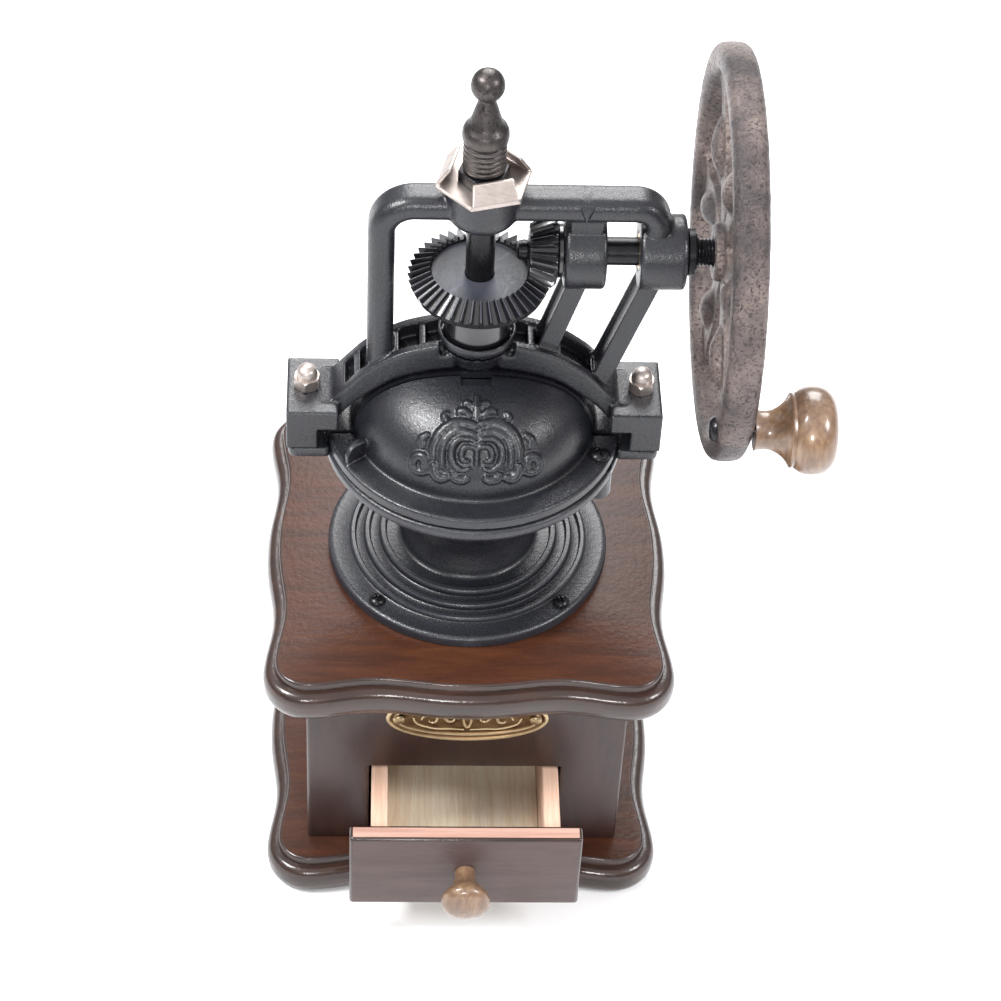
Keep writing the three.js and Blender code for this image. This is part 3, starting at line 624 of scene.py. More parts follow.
def rounded_rectangle(x0, x1, y0, y1, radius, steps=8):
    """A rectangle's outline with quarter circles at its corners."""
    outline = []
    for quarter, (cx, cy) in enumerate(((x1 - radius, y1 - radius), (x0 + radius, y1 - radius),
                                        (x0 + radius, y0 + radius), (x1 - radius, y0 + radius))):
        for i in range(steps + 1):
            x, y = polar(radius, (quarter + i / steps) * math.pi / 2)
            outline.append((cx + x, cy + y))
    return outline


def board(node, look, edge, carved=()):
    """A plain board of its CAD node's size with softened edges."""
    return piece(node, block(*extent(node)), look, bevel=edge, carved=carved)


def build_case():
    """Two moulded plates with the case walls and the drawer's runners between them."""
    wooden_plate("base_plate", 0)
    wooden_plate("top_plate", TOP_PLATE_Z,
                 [rod(BURR_HOLE_RADIUS, TOP_PLATE_Z - 1, TOP_PLATE_Z + PLATE_THICK + 1)])
    low, high = extent("drawer_left")
    half_opening = -low.x + 0.8
    opening = block((-half_opening, -70, low.z - 0.3), (half_opening, -40, high.z + 1.2))
    board("case_front", "case_wood", CASE_EDGE, [opening])
    board("case_back", "case_wood", CASE_EDGE)
    for side in ("left", "right"):
        board(f"case_{side}", "case_wood", BOARD_EDGE)
        board(f"drawer_runner_{side}", "pale_wood", BOARD_EDGE)


# ---- name plate ----

def oval_ring(half_width, half_height, centre, y, steps=96):
    """An upright oval at one depth."""
    return [(centre.x + half_width * math.cos(TAU * i / steps), y,
             centre.z + half_height * math.sin(TAU * i / steps)) for i in range(steps)]


def tube(points, radii, sides=10):
    """A round tube along a path, with its own radius at each point."""
    points = [Vector(p) for p in points]
    rings = []
    count = len(points)
    for i, (p, r) in enumerate(zip(points, radii)):
        ahead = (points[min(i + 1, count - 1)] - points[max(i - 1, 0)]).normalized()
        across = ahead.orthogonal() if i == 0 else across - ahead * across.dot(ahead)
        across.normalize()
        other = ahead.cross(across)
        rings.append([p + (across * math.cos(TAU * k / sides) + other * math.sin(TAU * k / sides)) * r
                      for k in range(sides)])
    return loft(rings)


def tapered(points, radius, ends, sides):
    """A tube that thins towards its ends, down to that share of its radius."""
    count = len(points)
    radii = [radius * (ends + (1 - ends) * math.sin(math.pi * (i + 0.5) / count)) for i in range(count)]
    return tube(points, radii, sides)


def spiral(centre, start_radius, end_radius, start_turn, turns, steps=22):
    """A 2D spiral. Angles are in turns, measured from +u towards +v."""
    path = []
    for i in range(steps + 1):
        r = start_radius + (end_radius - start_radius) * i / steps
        u, v = polar(r, TAU * (start_turn + turns * i / steps))
        path.append((centre[0] + u, centre[1] + v))
    return path


def build_name_plate():
    """An oval plate with a beaded border, mirrored scrolls, a small ring and a rivet at each end."""
    low, high = extent("name_plate")
    centre = (low + high) / 2
    half_w, half_h = (high.x - low.x) / 2, (high.z - low.z) / 2
    levels = [(0, 0.5), (0.3, 0.15), (0.9, 0), (1.4, 0.2), (1.7, 0.55), (2.2, 0.62), (2.6, 0.3),
              (3.1, 0.12), (3.6, 0.3), (3.9, 0.62), (4.4, 0.66)]
    rings = [oval_ring(half_w, half_h, centre, high.y)]
    rings += [oval_ring(half_w - inset, half_h - inset, centre, low.y + sunk) for inset, sunk in levels]
    relief = []
    face_y = low.y + 0.55

    def stroke(path, radius, side=1):
        placed = [(centre.x + side * u, face_y, centre.z + v) for u, v in path]
        relief.append(tapered(placed, radius, 0.45, 8))

    for side in (-1, 1):
        for place, radius, start, turns in (((5.2, 0.2), 3.6, 0.5, -0.95), ((12, -0.6), 3.2, 0, 0.9),
                                            ((9, 3.2), 2.2, 0.25, 0.7)):
            stroke(spiral(place, radius, 0.9, start, turns), 0.55, side)
        stroke(rounded([(1, -5.6), (5.6, -5), (11, -4.8), (16.5, -2.6), (18, 0.4)], 5), 0.5, side)
    stroke([(1.3 * math.sin(TAU * i / 24), 4.2 * math.cos(TAU * i / 24)) for i in range(25)], 0.5)
    piece("name_plate", joined([loft(rings)] + relief), "brass", angle=30)
    head = [(2 * math.cos(t), 1.1 * math.sin(t)) for t in (0, 0.3, 0.6, 0.9, 1.2, 1.4)]
    rivet = [(0, -1), (1.1, -1), (1.1, 0)] + head + [(0, 1.12)]
    for node in ("name_rivet_left", "name_rivet_right"):
        at = centre_of(node)
        piece(node, turned(rivet, "front", (at.x, low.y, at.z), 32), "brass")


# ---- drawer ----

def build_drawer():
    """The drawer's boards. Its front has a dark edge and a top that is rubbed bare."""
    front = board("drawer_front", "front_wood", 1.1)
    for look in ("edge_wood", "rubbed_wood"):
        front.data.materials.append(MATERIALS[look])
    for face in front.data.polygons:
        if face.normal.z > 0.98:
            face.material_index = 2
        elif face.normal.y > -0.98:
            face.material_index = 1
    for side in ("left", "right", "back"):
        board(f"drawer_{side}", "pale_wood", 0.5)
    board("drawer_bottom", "floor_wood", 0.2)
    at = centre_of("drawer_knob")
    base = (at.x, extent("drawer_knob")[1].y, at.z)
    profile = [(0, 0)] + rounded([(3.6, 0), (3.5, 1.6), (3.7, 3.4), (4.6, 5.8), (6.1, 8.2), (7.6, 10.2),
                                  (8.15, 11.8), (7.9, 13.2), (6.6, 14.5), (4.2, 15.4), (1.4, 15.85)], 5)
    profile.append((0, 15.9))
    piece("drawer_knob", turned(profile, "front", base), "knob_wood")
    screw = (at.x, extent("drawer_front")[1].y, at.z)
    piece("drawer_knob_screw", turned([(0, -1.6), (1.6, -1.5), (2.8, -0.9), (3.2, -0.1), (1.5, -0.1),
                                       (1.5, 12), (0, 13.4)], "front", screw, 32), "steel")


# ---- hopper and lid ----

RIM_TOP = 162.4
BRIM_TOP = 167
DOME_RADIUS = 39
DOME_TOP = 193.3
DOME_WALL = 2.4
SPLIT_Y = -9
FLANGE_THICK = 4
EAR_INNER_X = 45.5
TOO_FAR = 60


def dome_height(r, top=DOME_TOP, radius=DOME_RADIUS):
    """The dome's height at a distance from its axis: nearly flat on top, steep at the foot."""
    return BRIM_TOP + (top - BRIM_TOP) * max(0, 1 - (r / radius) ** 2.6) ** (1 / 2.2)


def ear_outline(side):
    x0, x1 = sorted((side * EAR_INNER_X, side * extent("hopper")[1].x))
    return rounded_rectangle(x0, x1, EAR_FRONT, EAR_BACK, 2.5)


def build_hopper():
    """A flange with three stepped rings, a waisted neck, a bowl, two ears and the lid's pivot lug."""
    top = FLANGE_Z + FLANGE_THICK
    steps = [(17, FLANGE_Z + 0.1), (46.6, FLANGE_Z + 0.1), (46.8, FLANGE_Z + 0.3), (46.8, top - 1.1),
             (46.5, top - 0.5), (45.9, top - 0.1), (45, top)]
    for outer, inner, foot, head in ((39.6, 37.4, 0, 1.8), (34.9, 32.6, 0.6, 2.9), (29.7, 27.2, 1.6, 4.2)):
        steps += [(outer + 0.5, top + foot), (outer, top + foot + 0.3), (outer - 0.1, top + head - 0.5),
                  (outer - 0.6, top + head), (inner + 0.6, top + head), (inner + 0.1, top + head - 0.5),
                  (inner, top + head - 1.3)]
    bowl = rounded([(24.4, top + 2.9), (22.4, top + 3.8), (20.9, 119), (20.4, 124), (21.8, 130),
                    (26.2, 136.8), (33, 143.6), (40.2, 150.2), (45.4, 155.6), (46.9, 158.2)], 5)
    rim = [(47.4, 158.7), (48, 158.9), (48.2, 159.3), (48.2, 161.6), (47.9, 162.1), (47.3, RIM_TOP),
           (45, RIM_TOP), (44.5, 162)]
    inside = rounded([(44.2, 160), (42.4, 155), (34.5, 147.2), (26.5, 139.6), (19.8, 132.6),
                      (17, 127)], 4)
    thing = mesh_object("hopper_skin", *turned(steps + bowl + rim + inside, sides=144))
    for side in (-1, 1):
        ear = mesh_object("ear", *slab(ear_outline(side), 160.5, 164.3))
        bevelled(ear, 0.7)
        for radius, bottom in ((48.3, RIM_TOP - 0.05), (44.6, 150)):
            carve(ear, rod(radius, bottom, 170, sides=96, edge=0))
        combined(thing, ear)
    combined(thing, mesh_object("lug", *rod(4.4, 151, RIM_TOP, at=(PIVOT.x, PIVOT.y, 0), sides=32)))
    shade(thing, 42)
    thing.data.materials.clear()
    thing.data.materials.append(MATERIALS["casting"])
    stands_for(thing, "hopper")


def cross_screw(node, head_radius, z):
    """A black pan-head screw with a cross recess."""
    at = centre_of(node)
    low = extent(node)[0].z
    head = [(head_radius * math.cos(t), z + 1.75 * math.sin(t)) for t in (0, 0.25, 0.5, 0.75, 1, 1.25)]
    profile = [(0, low), (1.4, low + 1.2), (1.5, z), (head_radius, z)] + head[1:] + [(0, z + 1.75)]
    recess = []
    for turn in (0.25, 0.25 + math.pi / 2):
        along = Vector((math.cos(turn), math.sin(turn), 0)) * head_radius * 0.62
        across = Vector((-math.sin(turn), math.cos(turn), 0)) * 0.34
        base = Vector((at.x, at.y, 0))
        corners = [base + along * i + across * k for i, k in ((1, 1), (-1, 1), (-1, -1), (1, -1))]
        recess.append(slab([(c.x, c.y) for c in corners], z + 0.75, z + 3))
    piece(node, turned(profile, at=(at.x, at.y, 0), sides=40), "blackened", carved=recess)


def dome_shell():
    """The whole dome as a shell with a thick brim, before it is split into the lid and the hood."""
    arc = [math.sin(i / 48 * math.pi / 2) for i in range(48)]
    outside = [(DOME_RADIUS * t, dome_height(DOME_RADIUS * t)) for t in arc]
    brim = [(39.1, 168), (39.3, 167.35), (39.8, 167.05), (40.6, BRIM_TOP), (46.6, BRIM_TOP),
            (47.2, 166.8), (47.55, 166.3), (47.6, 165.6), (47.6, 163.4), (47.1, 162.75), (36.6, 162.7)]
    wall = DOME_RADIUS - DOME_WALL
    inside = [(wall * t, dome_height(wall * t, DOME_TOP - DOME_WALL, wall)) for t in reversed(arc[::4])]
    return turned(outside + brim + inside, sides=160)


def on_dome(u, v):
    """The dome's surface point u across and v along the arc from the foot of its front."""
    step = 0.25
    r, z, travelled = DOME_RADIUS, BRIM_TOP, 0
    while travelled < v and r > step:
        nearer = r - step if z > 180 else r - step / 8
        height = dome_height(nearer)
        travelled += math.hypot(r - nearer, height - z)
        r, z = nearer, height
    return Vector((u, -math.sqrt(max(r * r - u * u, 0)), z))


# The lid's strokes right of its middle: points, curve steps, radius, share left at the ends, and lift.
SCROLLS = (
    ([(2.2, 9.6), (4.2, 8.6), (6.6, 9.2), (7.2, 11.4)], 5, 1.7, 0.6, 0),
    ([(8.6, 9.8), (11.2, 9.2), (13, 11.2), (13.2, 14.4)], 5, 1.9, 0.5, 0),
    ([(13.4, 15.4), (13.2, 19.2), (11, 23.4), (7, 26.2), (3, 26.6), (0, 25.6)], 6, 1.9, 0.6, 0),
    ([(10.6, 12.4), (10.8, 17.4), (9.4, 21.4), (6.4, 23.8), (3, 23.8), (0, 22.6)], 6, 1.5, 0.6, 0),
    ([(0, 20.4), (2.8, 21.6), (5.8, 21.2), (7.8, 18.4), (7.6, 14.4), (4.8, 11.8), (2, 12.4)], 6, 1.1, 0.6,
     0.5),
    ([(0, 18.4), (2, 19.2), (3.9, 18.8), (4.8, 16.6), (4.2, 14.6), (2.4, 14.6)], 6, 0.9, 0.6, 0.6),
    ([(16.4, 18.6), (17, 21.4), (14.6, 22.6)], 5, 1.4, 0.5, 0),
    ([(8.6, 26.6), (10.2, 28.2), (9, 30)], 5, 1.1, 0.5, 0),
    ([(1.6, 28.4), (4, 30.4), (6.2, 29.6)], 5, 1.6, 0.5, 0),
    ([(0.8, 31.4), (2.6, 33.4), (4.2, 32.6)], 5, 1.2, 0.5, 0),
)


def ornament():
    """A generic scroll relief: side volutes, leaf wings, a pair of C-scrolls and a leaf crest."""
    shapes = []

    def stroke(path, radius, ends, lift, side=1):
        raised = Vector((0, -0.6, 0.8)) * lift
        placed = [on_dome(side * u, v - 0.011 * u * u) + raised for u, v in path]
        shapes.append(tapered(placed, radius, ends, 12))

    for side in (-1, 1):
        stroke(spiral((17.2, 14.4), 3.6, 0.8, 0.6, 1.15), 1.6, 0.7, 0, side)
        for points, steps, radius, ends, lift in SCROLLS:
            stroke(rounded(points, steps), radius, ends, lift, side)
    stroke([(0, 13), (0, 16), (0, 18.6)], 0.8, 0.8, 0.4)
    stroke([(0, 27.6), (0, 31.6), (0, 36)], 1.5, 0.35, 0)
    return shapes


def finger_tab():
    """A curved leaf-shaped blade that stands on the brim's left end, pointed at its front."""
    base = rounded([(-40.6, -22.4), (-39.2, -20.6), (-36.4, -18.2), (-33.4, -16.6), (-31.2, -15.9)], 6)
    rings = []
    for i, (x, y) in enumerate(base):
        share = i / (len(base) - 1)
        height = 1.2 + 5.2 * math.sin(math.pi * (0.1 + 0.82 * share))
        half = 0.7 + 0.4 * math.sin(math.pi * share)
        lean = Vector((-0.35, -0.6, 0)) * height * 0.25
        foot, top = Vector((x, y, 165.8)), Vector((x, y, BRIM_TOP + height)) + lean
        side = Vector((0.55, -0.83, 0)) * half
        rings.append([foot + side * 1.5, foot - side * 1.5, top - side, top + side])
    return loft(rings)


def build_lid():
    """The dome, split across: the front half swings with the tab and relief, the rear half is fixed."""
    behind = block((-TOO_FAR, SPLIT_Y, 150), (TOO_FAR, TOO_FAR, 200))
    ahead = block((-TOO_FAR, -TOO_FAR, 150), (TOO_FAR, SPLIT_Y + 1.5, 200))
    notch = [(x, DOME_TOP + z) for x, z in ((-6.5, 2), (-4.4, -1.7), (4.4, -1.7), (6.5, 2))]
    notch = upright(notch, SPLIT_Y - 4, SPLIT_Y + 3)
    piece("lid", joined([dome_shell(), finger_tab()] + ornament()), "casting", voxel=0.36, rounds=3,
          carved=[behind, notch], angle=50)
    shaft_hole = rod(7, 180, 200, edge=0)
    clearance = rod(11.6, 150, 200, at=(PIVOT.x, PIVOT.y, 0), edge=0)
    piece("rear_hood", dome_shell(), "casting", carved=[ahead, shaft_hole, clearance], angle=50)
    cross_screw("lid_screw", 3.4, BRIM_TOP + 0.3)


def build_burrs():
    """The hidden grinding parts, their spring, and the four screws of the flange."""
    outer = [(20.3, 88), (20.3, 106), (14.2, 106), (13.4, 100), (17.6, 88)]
    inner = [(4.7, 84), (15.1, 84), (15.7, 87), (11.5, 99), (8, 104.9), (4.7, 104.9)]
    piece("outer_burr", turned(outer), "blackened")
    piece("burr_washer", ring(7.9, 4.7, 81.7, 83.6), "steel")
    piece("inner_burr", turned(inner), "blackened")
    cup = turned([(21.2, 77), (24, 77), (24, 89.6), (32, 89.6), (32, 91.9), (21.2, 91.9)])
    bar = block((-22, -6, 72), (22, 6, 77.4))
    piece("burr_bracket", joined([cup, bar]), "casting", voxel=0.6, carved=[rod(4.7, 60, 80)])
    coil, turns, per_turn, rise = 6, 2, 24, 1
    path = [(*polar(coil, TAU * i / per_turn), 77.95 + rise * i / per_turn)
            for i in range(turns * per_turn + 1)]
    piece("burr_spring", tube(path, [0.38] * len(path)), "steel")
    for i in range(1, 5):
        cross_screw(f"flange_screw_{i}", 2.75, FLANGE_Z + FLANGE_THICK + 0.1)


# ---- bridge frame ----

ARCH_TOP = [(45.5, 180.6), (40.5, 187), (34.5, 193.6), (24, 200.8), (12, 204.6)]
ARCH_UNDER = [(14, 194.2), (24, 190.9), (31, 186.2), (39.6, 178.2), (43.9, 172.6)]
BOSS_RADIUS = 11.8
BOSS_BORE = 6.05
SLEEVE_BORE = 5.65
POST_X = -30.5
BAR_END_X = 53.6
BAR_Z = 257


def arch_half(side):
    """Front and back ribs with a sunk channel between them, and cross webs in the channel."""
    top = rounded(ARCH_TOP, 6)
    under = rounded(ARCH_UNDER, 6)
    hub_end = [(11.6, 200.3), (7, 200.3), (7, 195.4)]
    foot = [(50, 172.4), (50, 179.9)]

    def rib(drop, y0, y1):
        lowered = [(x, z - (drop if x < 41 else 0)) for x, z in top]
        return upright([(side * x, z) for x, z in hub_end + under + foot + lowered], y0, y1)
    parts = [rib(0, -8, -4.9), rib(0, 4.9, 8), rib(5.2, -5.5, 5.5)]
    for x0, x1 in ((16, 18.2), (24.4, 26.6), (36.6, 38.6)):
        high0, high1 = (height_at(top, x) - 0.7 for x in (x0, x1))
        corners = ((x0, 190), (x1, 186), (x1, high1), (x0, high0))
        parts.append(upright([(side * x, z) for x, z in corners], -5.5, 5.5))
    return parts


def height_at(curve, x):
    """The height of a curve at x, by straight lines between its points."""
    ordered = sorted(curve)
    for (xa, za), (xb, zb) in zip(ordered, ordered[1:]):
        if xa <= x <= xb:
            return za + (zb - za) * (x - xa) / (xb - xa)
    return ordered[-1][1]


def bent_bar(path, bend_radii):
    """A rounded bar along corner points in the plane y = 0."""
    stations = []
    for i, point in enumerate(path):
        here = Vector(point)
        if i in (0, len(path) - 1):
            stations.append(here)
            continue
        before, after = ((Vector(path[k]) - here).normalized() for k in (i - 1, i + 1))
        r = bend_radii[i - 1]
        centre = here + (before + after) * r
        for k in range(13):
            angle = k / 12 * math.pi / 2
            stations.append(centre - after * r * math.cos(angle) - before * r * math.sin(angle))
    section = rounded_rectangle(-4.2, 4.2, -6, 6, 3.6, 6)
    rings = []
    for i, p in enumerate(stations):
        ahead = (stations[min(i + 1, len(stations) - 1)] - stations[max(i - 1, 0)]).normalized()
        rings.append([(p.x - ahead.y * u, v, p.y + ahead.x * u) for u, v in section])
    return loft(rings)


def strut(start, end):
    """A diagonal with a sunk groove along its two faces."""
    a, b = Vector(start), Vector(end)
    side = Vector((b.y - a.y, a.x - b.x)).normalized()

    def prism(half, y0, y1):
        corners = [a + side * half, b + side * half, b - side * half, a - side * half]
        return upright([(c.x, c.y) for c in corners], y0, y1)
    return [prism(3.1, -5, -3.2), prism(3.1, 3.2, 5), prism(1.9, -3.6, 3.6)]


def crank_boss(x0, x1):
    """A bored boss for the crank shaft with round edges."""
    edge = [(1, 0), (0.3, 0.3), (0, 1)]
    start = [(BOSS_RADIUS - cut, x0 + x) for cut, x in edge]
    end = [(BOSS_RADIUS - cut, x1 - x) for cut, x in reversed(edge)]
    return turned([(BOSS_BORE, x0)] + start + end + [(BOSS_BORE, x1)], "x", ON_CRANK)


def frame_ear(side):
    """A clamp ear that steps down over the hopper's ear."""
    outline = [(side * x, z) for x, z in ((43.4, 172.4), (50, 172.4), (50, 164.4), (60, 164.4),
                                          (60, EAR_TOP), (43.4, EAR_TOP))]
    return upright(outline, EAR_FRONT, EAR_BACK)


def build_frame():
    """The whole bridge, cast in one: post, bar, bosses, struts, arch and ears."""
    left_bar = bent_bar([(POST_X, 190.4), (POST_X, BAR_Z), (-7.5, BAR_Z)], [10])
    right_bar = bent_bar([(7.5, BAR_Z), (BAR_END_X, BAR_Z), (BAR_END_X, CRANK_Z + 8)], [7])
    cup = turned([(SLEEVE_BORE, 194.6), (8.4, 194.6), (9.2, 195.6), (9.4, 197.4), (9.9, 198.2),
                  (10.4, 199.4), (11.8, 203), (12.3, 204), (12.3, 206), (11.9, 206.4), (11.3, 206.4),
                  (11.3, 200.6), (SLEEVE_BORE, 200.6)])
    under_head = rounded([(6.6, 250.3), (9.2, 251.4), (11, 253.6), (11.6, 256.4)], 5)
    head = turned([(SLEEVE_BORE, 250.3)] + under_head + [(11.6, 264.6), (11.2, 265), (SLEEVE_BORE, 265)])
    low, high = CRANK_Z + 9.5, BAR_Z - 2
    neck = upright([(27.2, low), (26.6, high), (37.4, high), (36.6, low)], -5, 5)
    parts = [left_bar, right_bar, cup, head, neck, crank_boss(25.5, 38.3), crank_boss(48.5, 63)]
    parts += strut((30.4, 229.5), (21.3, 198)) + strut((53.4, 230), (38.8, 185))
    for side in (-1, 1):
        parts += arch_half(side)
        parts.append(frame_ear(side))
    # A V-shaped crease in the bar's front and top, over the inner crank boss.
    front_crease = upright([(31.5, BAR_Z - 3.4), (28.2, BAR_Z + 5), (34.8, BAR_Z + 5)], -7, -5.1)
    top_crease = upright([(28.6, BAR_Z + 4.6), (31.5, BAR_Z + 3.7), (34.4, BAR_Z + 4.6)], -7, 7)
    piece("bridge_frame", joined(parts), "casting", voxel=0.45, rounds=5, carved=[front_crease, top_crease],
          angle=60)


def hexagon(radius, start=0, x=0):
    """A hexagon about a point on the X axis, with its first corner at the start angle."""
    return [(x + u, v) for u, v in (polar(radius, start + i * TAU / 6) for i in range(6))]


def build_bushes_and_bolts():
    """Bushes for both shafts, and a bolt with its acorn nut through each ear."""
    for name, start, end in (("lower_bush", 194.8, 200.4), ("upper_bush", 250.6, 261.8)):
        piece(name, ring(5.5, 4.65, start, end), "brass")
    for name, start, end in (("inner", 25.6, 38.2), ("outer", 48.6, 62.9)):
        piece(f"crank_bush_{name}", ring(5.9, 4.55, start, end, "x", ON_CRANK), "brass")
    for name, x in (("left", -EAR_BOLT_X), ("right", EAR_BOLT_X)):
        shank = rod(2.5, 158, 184.4, at=(x, 0, 0))
        head = slab(hexagon(4.2, 0.3, x), 156.6, 160.3)
        piece(f"ear_bolt_{name}", joined([shank, head]), "steel", bevel=0.15)
        acorn_nut(name, x)


def acorn_nut(name, x):
    """A hexagon base with a turned chamfer, under a domed cap."""
    base = EAR_TOP + 0.1
    hexed = mesh_object("hexed", *slab(hexagon(4.5, 0.4, x), base, base + 4))
    chamfer = [(0, base - 1), (4, base - 0.1), (4.55, base + 0.7), (4.55, base + 3.1), (3.9, base + 4.2),
               (0, base + 5)]
    combined(hexed, mesh_object("chamfer", *turned(chamfer, at=(x, 0, 0), sides=48)), "INTERSECT")
    points = [v.co / MM for v in hexed.data.vertices]
    faces = [tuple(f.vertices) for f in hexed.data.polygons]
    bpy.data.objects.remove(hexed)
    cap = [(3.3, base + 3.4)] + rounded([(3.4, base + 4.2), (3.3, base + 5.6), (2.6, base + 7.1),
                                         (1.2, base + 7.95)], 5)
    cap = turned([(0, base + 3.4)] + cap + [(0, base + 8.1)], at=(x, 0, 0), sides=48)
    piece(f"acorn_nut_{name}", joined([(points, faces), cap]), "nickel", angle=25)


# ---- bevel gears, shafts and adjusting stack ----

GEAR_TEETH = 44
PINION_TEETH = 22
GEAR_CONE = math.atan2(GEAR_TEETH, PINION_TEETH)
OUTER_CONE = math.hypot(GEAR_TEETH, PINION_TEETH) / 2
INNER_CONE = OUTER_CONE - 7.6
GEAR_BORE = 4.7


def tooth_ring(teeth, cone, distance, phase):
    """A toothed ring at one cone distance, about +Z with the gears' shared apex at the origin."""
    corners = ((-0.27, -0.0447), (-0.2, -0.034), (-0.105, 0.024), (-0.06, 0.0325), (0.06, 0.0325),
               (0.105, 0.024), (0.2, -0.034), (0.27, -0.0447))
    outline = []
    for tooth in range(teeth):
        for offset, lift in corners:
            angle = TAU * (tooth + offset + phase) / teeth
            height, r = polar(distance, cone + lift)
            outline.append((*polar(r, angle), height))
    return outline


def circle_like(outline, r, z):
    """A circle with one point at the angle of each point of the outline."""
    return [(*polar(r, math.atan2(y, x)), z) for x, y, _ in outline]


def bevel_teeth(teeth, cone, phase, levels, back):
    """levels are (radius, height) rings from the bore to the teeth's inner ends; back closes the rear."""
    outer = tooth_ring(teeth, cone, OUTER_CONE, phase)
    inner = tooth_ring(teeth, cone, INNER_CONE, phase)
    rings = [circle_like(inner, r, h) for r, h in levels] + [inner, outer]
    rings += [circle_like(outer, r, h) for r, h in back]
    return loft(rings, capped=False)


def build_gears():
    """The horizontal gear with its long hub, hung teeth down, and the pinion on the crank shaft."""
    face = [(GEAR_BORE, 9.5), (14.4, 9.5), (14.9, 9.3)]
    back = [(20.8, 14.2), (10.9, 14.4), (10.5, 14.9), (10.5, 36.6), (10, 37.1), (GEAR_BORE, 37.1)]
    points, faces = bevel_teeth(GEAR_TEETH, GEAR_CONE, 0, face, back)
    hung = [Vector((p.x, p.y, CRANK_Z - p.z)) for p in points]
    gear = piece("bevel_gear", outward(hung, faces), "gear_black", angle=28)
    gear.data.materials.append(MATERIALS["gear_disc"])
    disc_z = (CRANK_Z - 9.8) * MM
    for polygon in gear.data.polygons:
        if polygon.normal.z > 0.9 and polygon.center.z > disc_z:
            polygon.material_index = 1
    face = [(GEAR_BORE, 14.6), (6.2, 14.6), (6.8, 15)]
    back = [(10.4, 23.2), (8.7, 23.6), (8.4, 24), (8.4, 25), (8.2, 25.2), (GEAR_BORE, 25.2)]
    points, faces = bevel_teeth(PINION_TEETH, math.pi / 2 - GEAR_CONE, 0.5, face, back)
    on_shaft = [TURN["x"] @ p + Vector(ON_CRANK) for p in points]
    piece("bevel_pinion", outward(on_shaft, faces), "gear_black", angle=28)


def thread(radius, depth, pitch, start, end, axis="z", at=(0, 0, 0)):
    """A ridged cylinder that reads as a screw thread."""
    count = int((end - start) / pitch)
    profile = [(0, start)]
    for z in (start + i * pitch for i in range(count)):
        profile += [(radius - depth, z), (radius, z + pitch * 0.4), (radius, z + pitch * 0.55)]
    last = start + count * pitch
    return turned(profile + [(radius - depth, last), (0, last)], axis, at, 48)


STEM_Z = 261.5
CRANK_THREAD_X = 66.4


def build_shafts():
    """Both shafts with their threads, the crank's collar, and the nuts at its ends."""
    low, high = (corner.z for corner in extent("main_shaft"))
    stem = thread(3.5, 0.35, 1, STEM_Z - 0.1, high - 0.6)
    piece("main_shaft", joined([rod(4.5, low, STEM_Z), stem]), "blackened")
    low, high = (corner.x for corner in extent("crank_shaft"))
    journal = turned([(0, low), (3.2, low), (3.2, 14.2), (4.4, 14.8), (4.4, CRANK_THREAD_X),
                      (0, CRANK_THREAD_X)], "x", ON_CRANK, 48)
    threaded = thread(4.35, 0.4, 1.1, CRANK_THREAD_X, high - 0.2, "x", ON_CRANK)
    piece("crank_shaft", joined([journal, threaded]), "blackened")
    piece("shaft_collar", ring(7.4, 4.6, 63.3, 66.2, "x", ON_CRANK, edge=0.6), "blackened")
    end = extent("pinion_nut")[1].x
    nut = [(0, end - 1.2), (2.4, end - 1.2), (3, end - 0.7), (3, end), (0, end)]
    piece("pinion_nut", turned(nut, "x", ON_CRANK, 32), "blackened")
    points, faces = slab(hexagon(7.3), WHEEL_X + 4.75, WHEEL_X + 8.2)
    on_shaft = [TURN["x"] @ p + Vector(ON_CRANK) for p in points]
    piece("wheel_nut", outward(on_shaft, faces), "blackened", bevel=0.4)


def folded_tab(direction, low):
    """A tab bent up from the plate's edge that leans in towards the finial."""
    apothem, lean, height, half_sheet = 13.2, 4.1, 7.2, 0.55
    turn = Matrix.Rotation(direction, 3, "Z")
    rings = []
    for x, z, half in ((apothem - 2.2, low + 0.6, 7.3), (apothem - 0.8, low + 0.65, 7.3),
                       (apothem - 0.6, low + 1.6, 7.3), (apothem - lean, low + height, 6.3)):
        inner, outer = (x - half_sheet, z - 0.2), (x + half_sheet, z)
        rings.append([turn @ Vector((r, y, h)) for (r, h), y in
                      ((inner, -half), (outer, -half), (outer, half), (inner, half))])
    return loft(rings)


def build_adjuster():
    """The folded locking plate, its nut, and the grooved finial that ends in a ball."""
    low = extent("adjusting_plate")[0].z
    first = math.radians(-75)
    parts = [slab(hexagon(15.2, first + math.pi / 6), low, low + 1.2)]
    parts += [folded_tab(first + i * TAU / 3, low) for i in range(3)]
    hole = rod(3.8, low - 2, low + 12)
    piece("adjusting_plate", joined(parts), "nickel", voxel=0.28, rounds=2, carved=[hole], angle=35)
    piece("adjusting_nut", slab(hexagon(8.1, 0.2), low + 1.35, 270.5), "blackened", bevel=0.3)
    groove = ((6.1, 0), (6.55, 0.3), (6.65, 0.95), (6.55, 1.6), (6.1, 1.9))
    grooves = [(r, 270.9 + 2 * i + z) for i in range(5) for r, z in groove]
    cone = [(6.1, 281.2), (6.9, 281.7), (7.15, 282.6), (7.1, 284.6)] + rounded(
        [(6.6, 286), (5.4, 287.6), (4.6, 289.4), (3.5, 293.2), (2.75, 295.6), (2.65, 296.8), (3.9, 298),
         (4.9, 299.9), (5.1, 301.6), (4.75, 303.6), (3.6, 305.4), (1.8, 306.45)], 5)
    piece("finial", turned([(0, 270.85)] + grooves + cone + [(0, 306.65)]), "finial_metal", angle=50)


# ---- flywheel and handle ----

RIM_INNER = WHEEL_RADIUS - 9.3
SPOKES = 6


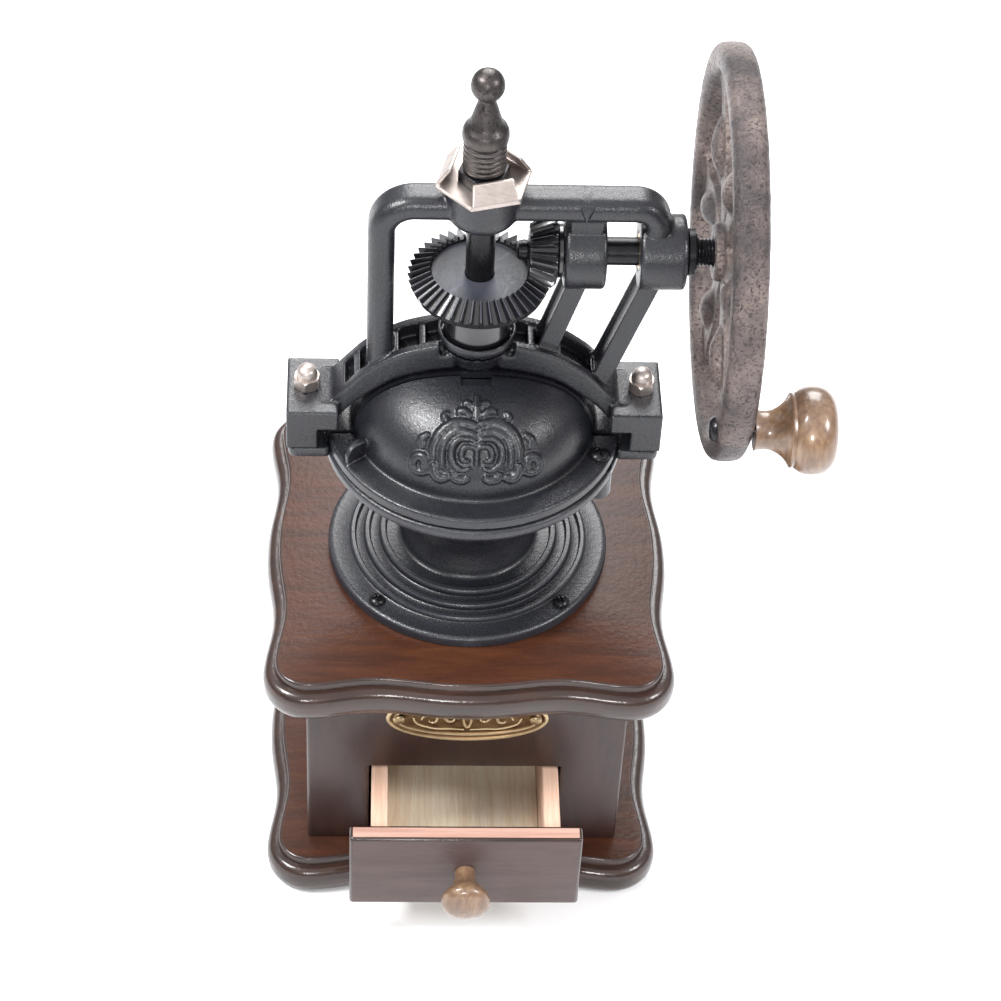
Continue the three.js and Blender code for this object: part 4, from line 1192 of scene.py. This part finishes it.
def spoke(turn_degrees):
    """A leaf-shaped arm from hub to rim with a bulging boss and a spread foot at the rim."""
    outline = rounded([(5.4, 7.5), (4.4, 12), (4.2, 17), (5.6, 23), (7, 31), (6, 39),
                       (4.6, 45), (5.6, 50), (9, RIM_INNER + 1)], 4)
    bar = loft([[(-1.7, -w, r), (1.7, -w, r), (1.7, w, r), (-1.7, w, r)] for w, r in outline])
    bulb = turned([(0, 20.6)] + rounded([(1.4, 21.4), (3.2, 24), (5, 28.4), (5.4, 32), (4.9, 36),
                                         (3.2, 40.6), (1.4, 43.2)], 4) + [(0, 44)], sides=32)
    ridge = turned([(0, 43.2), (1.6, 44), (2.3, 47), (1.9, 50.5), (0, 52.5)], sides=20)
    points, faces = joined([bar, bulb, ridge])
    turn = Matrix.Rotation(math.radians(turn_degrees), 3, "X")
    return [turn @ p + Vector((WHEEL_X, 0, CRANK_Z)) for p in points], faces


def build_wheel():
    """A heavy rounded rim, a hub and six arms, cast in one and hammered."""
    half = [(RIM_INNER, 3), (RIM_INNER + 1.3, 4.8), (RIM_INNER + 3.4, 5.45), (WHEEL_RADIUS - 2.6, 5.3),
            (WHEEL_RADIUS - 0.7, 4), (WHEEL_RADIUS - 0.05, 1.6)]
    section = rounded([(r, -x) for r, x in half] + half[::-1], 3)
    rim = turned([(r, x + WHEEL_X) for r, x in section], "x", ON_CRANK, 160)
    hub = ring(9, 4.55, WHEEL_X - 4.6, WHEEL_X + 4.6, "x", ON_CRANK, 96, 0.8)
    parts = [rim, hub] + [spoke(360 / SPOKES * i + 15) for i in range(SPOKES)]
    wheel = piece("wheel", joined(parts), "pewter", voxel=0.62, rounds=3, angle=60)
    hammer(wheel, 0.16)


def hammer(thing, depth):
    """Presses shallow hammer marks into the skin, inwards only."""
    skin = [(vertex.co.copy(), vertex.normal.copy()) for vertex in thing.data.vertices]
    for vertex, (place, normal) in zip(thing.data.vertices, skin):
        dent = noise.noise(place / MM * 0.34) + 0.6 * noise.noise(place / MM * 0.9)
        vertex.co = place - normal * (0.5 + 0.5 * dent) * depth * MM


def build_handle():
    """The turned wooden knob and the bolt that it spins on."""
    x0 = extent("wheel_knob")[0].x
    at = (0, HANDLE.y, HANDLE.z)
    neck = rounded([(6.4, 0), (6, 1.8), (6, 4.2), (6.9, 6.6), (8.6, 8.8), (10.6, 10.2)], 6)
    bead = [(11, 10.3), (11.35, 10.6), (11.5, 11), (11.3, 11.5), (11.2, 11.8)]
    head = rounded([(11.6, 12.2), (12.9, 14.2), (13.5, 17), (13.1, 20.4), (11.4, 23), (8.6, 24.5),
                    (4, 25.05)], 6)
    profile = [(0, 0)] + neck + bead + head + [(0, 25.15)]
    piece("wheel_knob", turned([(r, h + x0) for r, h in profile], "x", at), "knob_wood")
    end = extent("handle_bolt")[0].x
    bolt = [(0, end), (2.6, end + 0.15), (3.6, end + 0.8), (4, end + 1.9), (2.5, end + 2),
            (2.5, x0 + 19.6), (0, x0 + 20)]
    piece("handle_bolt", turned(bolt, "x", at, 40), "blackened")


# ---- the whole grinder ----

add_camera()
add_studio()
for build in (build_case, build_name_plate, build_drawer, build_hopper, build_burrs, build_lid, build_frame,
              build_bushes_and_bolts, build_gears, build_shafts, build_adjuster, build_wheel, build_handle):
    build()
